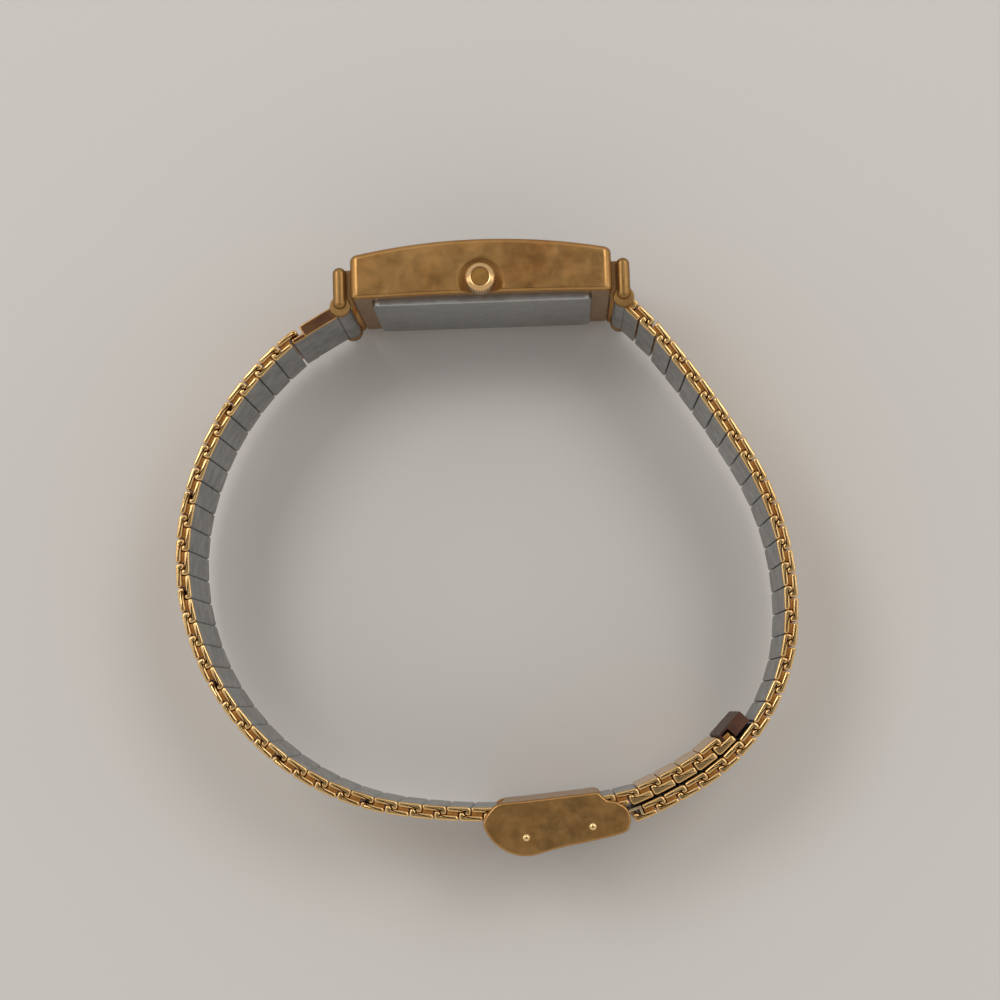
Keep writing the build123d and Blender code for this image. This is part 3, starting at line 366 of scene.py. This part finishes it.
def dial_lacquer(name):
    """Champagne lacquer over rays that run out from the dial's centre."""
    low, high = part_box("dial")
    paint = Paint(name)
    paint.set(Metallic=0.7, Roughness=0.36)
    parts = paint.node("ShaderNodeSeparateXYZ", {"Vector": paint.where()})
    up = paint.maths("SUBTRACT", parts.outputs["Z"], ((low + high) / 2).z)
    angle = paint.maths("ARCTAN2", up, parts.outputs["X"])
    rays = paint.node("ShaderNodeTexNoise", {"W": angle, "Scale": dial_rays, "Detail": 4.0},
                      noise_dimensions="1D")
    shade = paint.ramp(rays.outputs["Fac"], 0.3, 0.7)
    paint.drive("Base Color", paint.mix(shade, rgb(0.52, 0.40, 0.24), rgb(0.68, 0.56, 0.37)))
    return paint.material


case_gold = plated("case-gold", case_light, case_warm, 0.32, 0.7, case_hollow_shade, 1.2 * mm, (
    ((6.3 * mm, 2.6 * mm, 17.5 * mm), 4.6 * mm), ((2.9 * mm, 0.6 * mm, 17.5 * mm), 2.6 * mm)))
# Darker gold of the crown's recess: painted shade
recess_shade_gold = plated(
    "recess-shade-gold", rgb(0.22, 0.115, 0.036), rgb(0.17, 0.082, 0.024), 0.4, 0.6, case_hollow_shade)
lug_gold = plated("lug-gold", rgb(0.30, 0.17, 0.060), rgb(0.24, 0.125, 0.040), 0.38, 0.6, case_hollow_shade)
crown_gold = plated("crown-gold", rgb(0.62, 0.40, 0.19), gold_light, 0.26, 0.3, reach=0.4 * mm)
crown_disc_gold = plated("crown-disc-gold", rgb(0.31, 0.17, 0.045), gold_warm, 0.36, 0.4, reach=0.2 * mm)
band_gold = plated(
    "band-gold", rgb(0.77, 0.51, 0.225), rgb(0.61, 0.35, 0.118), 0.24, 0.6, reach=0.6 * mm)
end_gold = plated("end-gold", rgb(0.66, 0.40, 0.16), gold_warm, 0.26, 0.6)
end_side = plated("end-side", rgb(0.16, 0.085, 0.042), rgb(0.09, 0.042, 0.022), 0.4, 1.0, case_hollow_shade)
# Dark brown of the fillings in the band's hollows: painted shade
band_shade_core = plated("band-shade-core", rgb(0.30, 0.145, 0.035), rgb(0.20, 0.09, 0.02), 0.45, 1.0, metal=0.5)
tail_end_gold = plated("tail-end-gold", rgb(0.10, 0.045, 0.028), rgb(0.045, 0.02, 0.014), 0.5, 1.0,
                       rgb(0.04, 0.016, 0.008), metal=0.35)
clasp_gold = plated("clasp-gold", case_light, case_warm, 0.34, 0.5)
pin_gold = plated("pin-gold", rgb(0.78, 0.55, 0.27), gold_light, 0.2, 0.3, reach=0.4 * mm)
inner_steel = steel("band-steel", steel_light, steel_dark, 0.4)
slot_material = {
    "gold_case": case_gold,
    "gold_lug": lug_gold,
    "gold_crown": crown_gold,
    "gold_band": band_gold,
    "end_gold": tail_end_gold,
    "clasp_gold": clasp_gold,
    "clasp_lever_gold": clasp_gold,
    "clasp_pin_gold": pin_gold,
    "hook_steel": steel("hook-steel", rgb(0.78, 0.62, 0.38), rgb(0.5, 0.38, 0.2), 0.3),
    "back_steel": steel("back-steel", steel_light, rgb(0.33, 0.33, 0.32), 0.42, 0.08),
    "glass": glass("crystal-glass"),
    "seal": plastic("seal-black", rgb(0.012, 0.012, 0.012), 0.6),
    "dial_paint": dial_lacquer("dial-lacquer"),
    "dial_gold": plated("dial-gold", rgb(0.72, 0.47, 0.18), gold_warm, 0.16, 0.2),
    "holder_plastic": plastic("holder-white", rgb(0.62, 0.62, 0.58), 0.5),
    "plate_brass": plated("plate-brass", rgb(0.62, 0.46, 0.20), rgb(0.5, 0.35, 0.14), 0.3, 0.3),
    "wheel_plastic": plastic("wheel-blue", rgb(0.03, 0.08, 0.30), 0.3),
    "magnet": steel("magnet-grey", rgb(0.12, 0.12, 0.13), rgb(0.06, 0.06, 0.065), 0.3),
    "movement_steel": steel("movement-steel", rgb(0.52, 0.52, 0.52), rgb(0.36, 0.36, 0.36), 0.28),
    "battery_steel": steel("battery-nickel", rgb(0.66, 0.65, 0.62), rgb(0.5, 0.5, 0.48), 0.16),
    "copper": plated("copper-wire", rgb(0.60, 0.20, 0.08), rgb(0.42, 0.13, 0.05), 0.32, 0.5),
    "board": plastic("board-green", rgb(0.01, 0.085, 0.035), 0.4),
}
node_material = {entry["node"]: slot_material[entry["material_slot"]] for entry in record["subparts"]}


# Outlines
def rounded(corners, steps=5):
    """Closed outline whose corners, given as (x, y, radius), are turned into arcs."""
    outline = []
    for index, (x, y, radius) in enumerate(corners):
        here = Vector((x, y))
        back = (Vector(corners[index - 1][:2]) - here).normalized()
        ahead = (Vector(corners[(index + 1) % len(corners)][:2]) - here).normalized()
        half = back.angle(ahead) / 2
        centre = here + (back + ahead).normalized() * radius / math.sin(half)
        start = here + back * radius / math.tan(half) - centre
        end = here + ahead * radius / math.tan(half) - centre
        turn = math.atan2(start.cross(end), start.dot(end))
        for step in range(steps + 1):
            a = turn * step / steps
            outline.append(centre + Vector((start.x * math.cos(a) - start.y * math.sin(a),
                                            start.x * math.sin(a) + start.y * math.cos(a))))
    return outline


def circle(centre, radius, count=32):
    angles = [2 * math.pi * i / count for i in range(count)]
    return [Vector(centre) + Vector((math.cos(a), math.sin(a))) * radius for a in angles]


def smooth_outline(corners, parts=8):
    """Closed curve through the corners."""
    outline = []
    count = len(corners)
    for index in range(count):
        a, b, c, d = (corners[(index + step) % count] for step in (-1, 0, 1, 2))
        for part in range(parts):
            t = part / parts
            outline.append(0.5 * ((2 * b) + (c - a) * t + (2 * a - 5 * b + 4 * c - d) * t ** 2
                                  + (3 * b - a - 3 * c + d) * t ** 3))
    return outline


def shrunk(outline, distance):
    """Outline moved inward by a distance; it runs counter-clockwise."""
    moved = []
    for index, point in enumerate(outline):
        a = (point - outline[index - 1]).normalized()
        b = (outline[(index + 1) % len(outline)] - point).normalized()
        inward = Vector((-(a.y + b.y), a.x + b.x)).normalized()
        share = max(least_corner_share, inward.dot(Vector((-a.y, a.x))))
        moved.append(point + inward * distance / share)
    return moved


def counter_clockwise(outline, skin=None):
    """The outline in counter-clockwise order, and the numbers that its skin's points then have."""
    if sum(outline[i - 1].cross(point) for i, point in enumerate(outline)) >= 0:
        return outline, skin
    return outline[::-1], skin and {len(outline) - 1 - i for i in skin}


# Meshes
def linked(name, mesh):
    made = bpy.data.objects.new(name, mesh)
    bpy.context.scene.collection.objects.link(made)
    return made


def even_shading(piece):
    smooth = piece.modifiers.new("even_shading", "WEIGHTED_NORMAL")
    smooth.keep_sharp = True


def dressed(piece, node):
    """Puts a finished piece in the place of a CAD node, on the same body."""
    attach(piece, node_body[node])
    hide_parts(node)


class Solids:
    """Collects prisms with rounded rims into one mesh."""

    def __init__(self):
        self.points = []
        self.faces = []
        self.paints = []

    def add(self, outline, low, high, low_rim, high_rim, skin=None, steps=4, cap=0):
        """Sides whose two ends are both in skin, a set of point numbers, get the second material, and the
        flat ends get the material with the number cap."""
        count = len(outline)
        quarter = [math.pi / 2 * step / steps for step in range(steps + 1)]
        rings = [(low_rim * (1 - math.sin(a)), low + low_rim * (1 - math.cos(a))) for a in quarter]
        rings += [(high_rim * (1 - math.sin(a)), high - high_rim * (1 - math.cos(a)))
                  for a in reversed(quarter)]
        first = len(self.points)
        for distance, height in rings:
            self.points += [(point.x, point.y, height) for point in shrunk(outline, distance)]
        for ring in range(len(rings) - 1):
            for index in range(count):
                following = (index + 1) % count
                a = first + ring * count
                b = a + count
                self.faces.append((a + index, a + following, b + following, b + index))
                on_skin = skin and index in skin and following in skin and ring == steps
                self.paints.append(1 if on_skin else 0)
        top = first + (len(rings) - 1) * count
        self.faces.append(tuple(first + index for index in reversed(range(count))))
        self.faces.append(tuple(top + index for index in range(count)))
        self.paints += [cap, cap]

    def build(self, name, *materials):
        mesh = bpy.data.meshes.new(name)
        mesh.from_pydata(self.points, [], self.faces)
        for material in materials:
            mesh.materials.append(material)
        for polygon, paint in zip(mesh.polygons, self.paints):
            polygon.material_index = paint
            polygon.use_smooth = True
        mesh.update()
        made = linked(name, mesh)
        even_shading(made)
        return made


def mesh_piece(name, points, faces, material, sharp=crease):
    """Closed mesh with its faces turned outward and its sharp edges kept by angle."""
    mesh = bpy.data.meshes.new(name)
    mesh.from_pydata(points, [], faces)
    work = bmesh.new()
    work.from_mesh(mesh)
    bmesh.ops.recalc_face_normals(work, faces=work.faces)
    work.to_mesh(mesh)
    work.free()
    mesh.materials.append(material)
    mesh.shade_smooth()
    mesh.set_sharp_from_angle(angle=math.radians(sharp))
    return linked(name, mesh)


def lathe(name, profile, axis, material, segments=64, flutes=0, sharp=crease):
    """Solid of revolution about a line along Z. The profile gives (radius, height, flute depth) from the
    middle of one end to the middle of the other."""
    points, faces = [], []
    for radius, height, depth in profile:
        for step in range(segments):
            a = 2 * math.pi * step / segments
            r = radius - depth * (0.5 - 0.5 * math.cos(flutes * a))
            points.append((axis[0] + r * math.cos(a), axis[1] + r * math.sin(a), height))
    for ring in range(len(profile) - 1):
        for step in range(segments):
            a = ring * segments + step
            b = ring * segments + (step + 1) % segments
            faces.append((a, b, b + segments, a + segments))
    faces.append(tuple(reversed(range(segments))))
    faces.append(tuple((len(profile) - 1) * segments + step for step in range(segments)))
    return mesh_piece(name, points, faces, material, sharp)


# Band: each CAD channel gives a piece of bent strip its place
def solids_of(node):
    """The XY points of each separate solid of a CAD node, taken at its foot."""
    mesh = nodes[node].data
    spots = {}
    number = [spots.setdefault(tuple(round(c, 7) for c in v.co), len(spots)) for v in mesh.vertices]
    group = list(range(len(spots)))

    def root(i):
        while group[i] != i:
            i = group[i]
        return i

    for polygon in mesh.polygons:
        corners = [root(number[v]) for v in polygon.vertices]
        for corner in corners[1:]:
            group[root(corner)] = root(corners[0])
    foot = min(spot[2] for spot in spots)
    found = {}
    for spot, index in spots.items():
        if spot[2] < foot + foot_depth:
            found.setdefault(root(index), []).append(Vector(spot[:2]))
    return list(found.values())


def back_of(points):
    """Ends of a channel's back: the longest line that has all the other points well to one side."""
    best = None
    for i, a in enumerate(points):
        for b in points[i + 1:]:
            along = (b - a).normalized()
            sides = [along.cross(p - a) for p in points if p is not a and p is not b]
            clear = min(sides) > side_depth or max(sides) < -side_depth
            if clear and (best is None or (b - a).length > (best[1] - best[0]).length):
                best = (a, b)
    return best


def strip_outline(half_length, outer, slack, backing):
    """A bent strip in its own frame, (along the band, outward): the inner kind has its back inward and
    its hook at the far end, and the outer kind is the same turned by half a turn. Slack makes the hook
    smaller where two sections of the band turn against each other, and backing makes the back thicker."""
    back = -half_band
    hook_depth, hook_width = full_hook_depth - slack, full_hook_width - slack / 2
    tip = min(tip_corner, tip_share * hook_width)
    outline = rounded([
        (-half_length, back - backing, end_corner),
        (half_length, back - backing, hook_corner),
        (half_length, back + hook_depth, tip),
        (half_length - hook_width, back + hook_depth, tip),
        (half_length - hook_width, back + strip_thickness, fold_corner),
        (-half_length, back + strip_thickness, 2 * end_corner)])
    skin = {i for i, p in enumerate(outline) if p.y < back + skin_share * strip_thickness}
    return [-p for p in outline] if outer else outline, skin


def core_outline(half_length):
    """What fills the hollow beside an outer strip's hook, in the strip's own frame: a dark brown filling,
    painted shade.
    """
    near = 2 * full_hook_width + core_hook_gap - half_length
    far = half_length - core_end_gap
    half_core = half_band - strip_thickness + core_overlap
    return [Vector(p) for p in ((near, -half_core), (far, -half_core), (far, half_core), (near, half_core))]


def add_strip(target, place, low, high, half_length, outer, shade_core_paint, slack=0, backing=0):
    """Adds a strip, and the dark filling of painted shade beside an outer one; place puts a point of its
    frame on the part.
    """
    outline, skin = strip_outline(half_length, outer, slack, backing)
    outline, skin = counter_clockwise([place(p) for p in outline], skin)
    target.add(outline, low, high, strip_rim, strip_rim, None if outer else skin)
    if outer:
        core, _ = counter_clockwise([place(p) for p in core_outline(half_length)])
        target.add(core, low + core_depth, high - core_depth, core_rim, core_rim, steps=1, cap=shade_core_paint)


def dress_band(node):
    """Strips in the places of a section's channels, the outer ones and the inner ones as a piece each."""
    low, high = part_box(node)
    strips = []
    for points in solids_of(node):
        a, b = back_of(points)
        middle = (a + b) / 2
        heading = (b - a).normalized()
        normal = Vector((-heading.y, heading.x))
        if normal.dot(sum(points, Vector((0, 0))) / len(points) - middle) > 0:
            normal = -normal
        centre = middle - normal * (half_band + back_inset)
        outward = centre - loop_centre
        outer = normal.dot(outward) > 0
        if not outer:
            normal = -normal
        if heading.dot(Vector((-outward.y, outward.x))) < 0:
            heading = -heading
        order = (not outer, math.atan2(outward.x, -outward.y))
        strips.append((order, centre, heading, normal, outer, (b - a).length))
    first_outer = min(strips, key=lambda strip: strip[0])
    last_inner = max(strips, key=lambda strip: strip[0])
    outer_solids, inner_solids = Solids(), Solids()
    for strip in strips:
        _, centre, heading, normal, outer, length = strip
        slack = 0
        if node.startswith("lower_band"):
            slack = inner_slack if strip is last_inner else outer_slack if strip is first_outer else 0
        backing = tail_backing if outer and node == "band_tail" else 0
        add_strip(outer_solids if outer else inner_solids,
                  lambda p: centre + heading * p.x + normal * p.y, low.z, high.z,
                  length / 2 + back_corner + piece_reach, outer, 1, slack, backing)
    outside = outer_solids.build(f"{node}.outer", band_gold, band_shade_core)
    skin_material = band_gold if node == "band_tail" else inner_steel
    inside = inner_solids.build(f"{node}.inner", band_gold, skin_material)
    dressed(outside, node)
    dressed(inside, node)


def end_piece(node, bar, angle, plates, links, gold, side):
    """A barrel on the spring bar, then plates, and links where it has them."""
    low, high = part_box(node)
    along = Vector((math.cos(math.radians(angle)), math.sin(math.radians(angle))))
    inward = Vector((-along.y, along.x))
    if inward.dot(loop_centre - bar) < 0:
        inward = -inward
    made = Solids()
    for first, last, inner, outer in plates:
        corners = [bar + along * t + inward * n for t, n in (
            (first, inner), (last, inner), (last, -outer), (first, -outer))]
        outline, _ = counter_clockwise(rounded([(p.x, p.y, end_corner) for p in corners], 3))
        skin = {i for i, p in enumerate(outline) if (p - bar).dot(inward) > inner - end_skin}
        made.add(outline, low.z, high.z, strip_rim, end_rim, skin, cap=0 if links else 2)
    for middle, half_length, outer in links:
        add_strip(made, lambda p: bar + along * (middle - p.x) - inward * p.y, low.z, high.z,
                  half_length, outer, 2)
    barrel = circle(bar, end_barrel)
    made.add(barrel, low.z, high.z, end_rim, end_rim, set(range(len(barrel))))
    dressed(made.build(f"{node}.box", gold, inner_steel, side), node)


# Case body: rings of points from the outside over the bezel, through the openings and back
def ring_points(half_length, half_width, radius, height):
    """Rounded rectangle about the dial's centre, seen along Y; its height follows x."""
    quarters = ((1, 1), (-1, 1), (-1, -1), (1, -1))
    middles = [Vector((sx * (half_length - radius), sz * (half_width - radius))) for sx, sz in quarters]
    plan = []
    for corner, middle in enumerate(middles):
        for step in range(corner_parts + 1):
            a = math.pi / 2 * (corner + step / corner_parts)
            plan.append(middle + Vector((math.cos(a), math.sin(a))) * radius)
        a = math.pi / 2 * (corner + 1)
        start = plan[-1]
        end = middles[(corner + 1) % 4] + Vector((math.cos(a), math.sin(a))) * radius
        parts = short_side_parts if corner % 2 else long_side_parts
        plan += [start.lerp(end, part / parts) for part in range(1, parts)]
    return [(p.x, height(p.x), case_high.z / 2 + p.y) for p in plan]


def recess_cutter():
    """The tube's bore and the shallow recess round the crown, as the solid to be cut away; its darker gold,
    painted shade, goes onto the cut faces.
    """
    middle, top = case_high.z / 2, case_high.z
    profile = [(axis_radius, middle, 0), (tube_bore, middle, 0), (tube_bore, top - recess_depth, 0)]
    profile += [(across * recess_radius, top - down * recess_depth, 0) for across, down in recess_profile]
    profile += [(profile[-1][0], top + cutter_rise, 0), (axis_radius, top + cutter_rise, 0)]
    return lathe("cutter", profile, (0, 0), recess_shade_gold)


def case_shell():
    half_length, half_width = case_high.x, case_high.z / 2
    bow = case_high.y - (case_low.y + case_end_height)
    arch_radius = (half_length ** 2 + bow ** 2) / (2 * bow)
    quarter = [math.pi / (2 * edge_parts) * step for step in range(edge_parts + 1)]

    def top(x):
        return case_high.y - arch_radius + math.sqrt(arch_radius ** 2 - x ** 2)

    def foot(x):
        return case_low.y + case_bottom_bow * (1 - (x / half_length) ** 2)

    def outside(inward, height):
        return ring_points(half_length - inward, half_width - inward,
                           max(case_corner - inward, case_least_corner), height)

    rings = []
    for a in quarter:
        rise = case_foot_round * (1 - math.cos(a))
        rings.append(outside(case_foot_round * (1 - math.sin(a)), lambda x: foot(x) + rise))
    for share in side_shares:
        rings.append(outside(0, lambda x: foot(x) + case_foot_round
                             + share * (top(x) - foot(x) - case_foot_round - case_top_round)))
    for a in quarter:
        drop = case_top_round * (1 - math.sin(a))
        rings.append(outside(case_top_round * (1 - math.cos(a)), lambda x: top(x) - drop))
    rings.append(ring_points(*(size + bezel_lip for size in bezel_opening), top))
    for opening, height in (
            (bezel_opening, lambda x: top(x) - bezel_lip),
            (bezel_opening, lambda x: top(x) - crystal_thickness),
            (window_opening, lambda x: top(x) - crystal_thickness),
            (window_opening, lambda x: dial_seat),
            (bay_opening, lambda x: dial_seat),
            (bay_opening, lambda x: back_seat),
            (back_opening, lambda x: back_seat),
            (back_opening, foot)):
        rings.append(ring_points(*opening, height))
    count = len(rings[0])
    points = [point for ring in rings for point in ring]
    faces = []
    for ring in range(len(rings)):
        here, ahead = ring * count, (ring + 1) % len(rings) * count
        for index in range(count):
            following = (index + 1) % count
            faces.append((here + index, here + following, ahead + following, ahead + index))
    shell = mesh_piece("case_body.shell", points, faces, case_gold)
    cutter = recess_cutter()
    cut = shell.modifiers.new("crown_recess", "BOOLEAN")
    cut.object = cutter
    cut.operation = "DIFFERENCE"
    cut.solver = "EXACT"
    # The recess's cut faces take its darker gold, painted shade
    cut.material_mode = "TRANSFER"
    bpy.context.view_layer.update()
    solid = bpy.data.meshes.new_from_object(shell.evaluated_get(bpy.context.evaluated_depsgraph_get()))
    shell.modifiers.clear()
    shell.data = solid
    bpy.data.objects.remove(cutter)
    solid.shade_smooth()
    solid.set_sharp_from_angle(angle=math.radians(case_crease))
    even_shading(shell)
    dressed(shell, "case_body")


def lugs(node):
    """Round-edged bars on the outer side, over the eyes that hold the spring bar, with arms to the case."""
    low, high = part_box(node)
    end = 1 if high.x > 0 else -1
    x = end * (max(abs(low.x), abs(high.x)) - lug_eye_radius)
    thickness = (case_high.z - 2 * (case_high.z - high.z) - lug_spacing) / 2
    radius = lug_bar / 2 - lug_bar_flat
    bar = rounded([(x - lug_bar / 2, lug_eye_y - lug_bar / 4, radius),
                   (x + lug_bar / 2, lug_eye_y - lug_bar / 4, radius),
                   (x + lug_bar / 2, high.y, radius), (x - lug_bar / 2, high.y, radius)], 10)
    near, far = sorted((end * case_high.x - end * lug_arm_root, x))
    arm = rounded([(near, lug_eye_y, lug_arm_corner), (far, lug_eye_y, lug_arm_corner),
                   (far, high.y - lug_arm_drop, lug_arm_corner),
                   (near, high.y - lug_arm_drop, lug_arm_corner)], 3)
    made = Solids()
    for outer, side in ((high.z, 1), (low.z, -1)):
        inner = outer - side * thickness
        made.add(bar, *sorted((outer, inner)), lug_bar_rim, lug_bar_rim, steps=8)
        made.add(circle((x, lug_eye_y), lug_eye_radius),
                 *sorted((outer - side * lug_eye_step, inner)), lug_rim, lug_rim)
        made.add(arm, *sorted((outer - side * lug_arm_sink, inner + side * lug_arm_step)),
                 lug_rim, lug_rim)
    dressed(made.build(f"{node}.bars", lug_gold), node)


def crown():
    """Fluted head with a sunk disc."""
    low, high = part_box("crown")
    radius = (high.x - low.x) / 2
    profile = [(tube_bore + crown_bore_gap, low.z, 0), (radius - crown_foot_round, low.z, 0),
               (radius, low.z + crown_foot_round, crown_flute)]
    profile += [(radius - inward * mm, high.z - down * mm, share * crown_flute)
                for inward, down, share in crown_rim]
    profile += [(crown_disc + outward * mm, high.z - down * mm, 0) for outward, down in crown_lip]
    profile += [(crown_disc, high.z - crown_step, 0), (axis_radius, high.z - crown_step, 0)]
    head = lathe("crown.head", profile, (0, 0), crown_gold, crown_segments, crown_flutes)
    dressed(head, "crown")
    below, edge, above = (high.z - share * crown_step for share in disc_edge_shares)
    face = [(axis_radius, below, 0), (crown_disc - disc_gap, below, 0), (crown_disc - disc_gap, edge, 0),
            (crown_disc - disc_edge, above, 0), (axis_radius, above, 0)]
    dressed(lathe("crown.disc", face, (0, 0), crown_disc_gold), "crown")


# Clasp: smooth plates, the base between them and domed pins
def clasp_place(u, v):
    return clasp_middle + Vector((u * math.cos(clasp_tilt) + v * math.sin(clasp_tilt),
                                  u * math.sin(clasp_tilt) - v * math.cos(clasp_tilt)))


def clasp():
    low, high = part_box("clasp_body")
    corners = [Vector((u * clasp_length, clasp_top + v * clasp_depth)) for u, v in clasp_outline]
    plate, _ = counter_clockwise([clasp_place(*p) for p in smooth_outline(corners)])
    plate = shrunk(plate, clasp_trim)
    made = Solids()
    made.add(plate, high.z - clasp_plate, high.z, clasp_inner_rim, clasp_rim, steps=5)
    made.add(plate, low.z, low.z + clasp_plate, clasp_rim, clasp_inner_rim, steps=5)
    first, last = (share * clasp_length for share in clasp_base_ends)
    under = clasp_top + clasp_base
    base, _ = counter_clockwise([clasp_place(u, v) for u, v in (
        (first, clasp_top), (last, clasp_top), (last, under), (first, under))])
    made.add(rounded([(p.x, p.y, clasp_base_corner) for p in base], 3),
             low.z + clasp_plate / 2, high.z - clasp_plate / 2, clasp_base_rim, clasp_base_rim)
    dressed(made.build("clasp_body.plates", clasp_gold), "clasp_body")


def pins():
    low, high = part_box("clasp_pins")
    profile = [(radius * mm, low.z + depth * mm, 0) for radius, depth in pin_dome]
    profile += [(pin_head, low.z + pin_proud, 0), (pin_shank, low.z + pin_proud, 0),
                (pin_shank, high.z - pin_proud, 0), (pin_head, high.z - pin_proud, 0)]
    profile += [(radius * mm, high.z - depth * mm, 0) for radius, depth in reversed(pin_dome)]
    for number, place in enumerate(clasp_pins):
        made = lathe(f"clasp_pin.{number + 1}", profile, clasp_place(*place), pin_gold, 32, sharp=pin_crease)
        dressed(made, "clasp_pins")


def dress_cad_nodes():
    """Every other CAD node keeps its mesh; its edges are softened and it gets its material."""
    for name, node in nodes.items():
        if name in own_pieces:
            continue
        node.data.materials.clear()
        node.data.materials.append(node_material[name])
        weld = node.modifiers.new("weld", "WELD")
        weld.merge_threshold = weld_distance
        bevel = node.modifiers.new("soft_edges", "BEVEL")
        bevel.width = soft_edges.get(name, soft_edge)
        bevel.segments = 3
        bevel.limit_method = "ANGLE"
        bevel.angle_limit = math.radians(crease)
        bevel.harden_normals = True


case_low, case_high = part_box("case_body")
bands = [name for name in nodes if "_band_" in name or name in ("band_in_clasp", "band_tail")]
own_pieces = {*bands, "case_body", "upper_lugs", "lower_lugs", "crown", "clasp_body", "clasp_pins",
              "upper_end_piece", "lower_end_piece"}
for band in bands:
    dress_band(band)
case_shell()
lugs("upper_lugs")
lugs("lower_lugs")
end_piece("lower_end_piece", lower_bar, lower_angle, lower_plates, (), end_gold, end_side)
end_piece("upper_end_piece", upper_bar, upper_angle, upper_plates, upper_links, band_gold, band_shade_core)
crown()
clasp()
pins()
dress_cad_nodes()


# Floor, lights and camera
def floor():
    bpy.ops.mesh.primitive_plane_add(size=floor_size, location=(0, 0, 0))
    plane = bpy.context.object
    plane.name = "floor"
    paint = Paint("floor-card")
    paint.set(Roughness=0.75, Base_Color=rgb(0.543, 0.523, 0.498), Specular_IOR_Level=0.2)
    plane.data.materials.append(paint.material)


def lamp(name, place, width, height, power):
    data = bpy.data.lights.new(name, "AREA")
    data.shape = "RECTANGLE"
    data.size = width
    data.size_y = height
    data.energy = power
    made = linked(name, data)
    made.location = place
    made.rotation_euler = (lamp_target - Vector(place)).to_track_quat("-Z", "Y").to_euler()


def surroundings():
    """A plain room, brighter low down than overhead."""
    world = bpy.data.worlds.new("room")
    world.use_nodes = True
    tree = world.node_tree
    background = tree.nodes["Background"]
    background.inputs["Color"].default_value = room_colour
    where = tree.nodes.new("ShaderNodeTexCoord")
    parts = tree.nodes.new("ShaderNodeSeparateXYZ")
    fade = tree.nodes.new("ShaderNodeMapRange")
    tree.links.new(where.outputs["Generated"], parts.inputs["Vector"])
    tree.links.new(parts.outputs["Z"], fade.inputs["Value"])
    for key, value in room_fade.items():
        fade.inputs[key].default_value = value
    tree.links.new(fade.outputs["Result"], background.inputs["Strength"])
    bpy.context.scene.world = world
    bpy.context.scene.view_settings.view_transform = "Standard"


def camera():
    data = bpy.data.cameras.new("camera")
    data.lens = camera_lens
    data.sensor_width = camera_sensor
    data.sensor_fit = "HORIZONTAL"
    data.clip_start = camera_clip
    made = linked("camera", data)
    made.location = camera_place
    made.rotation_euler = Euler([math.radians(a) for a in camera_turn], "XYZ")
    bpy.context.scene.camera = made


floor()
for values in lamps:
    lamp(*values)
surroundings()
camera()
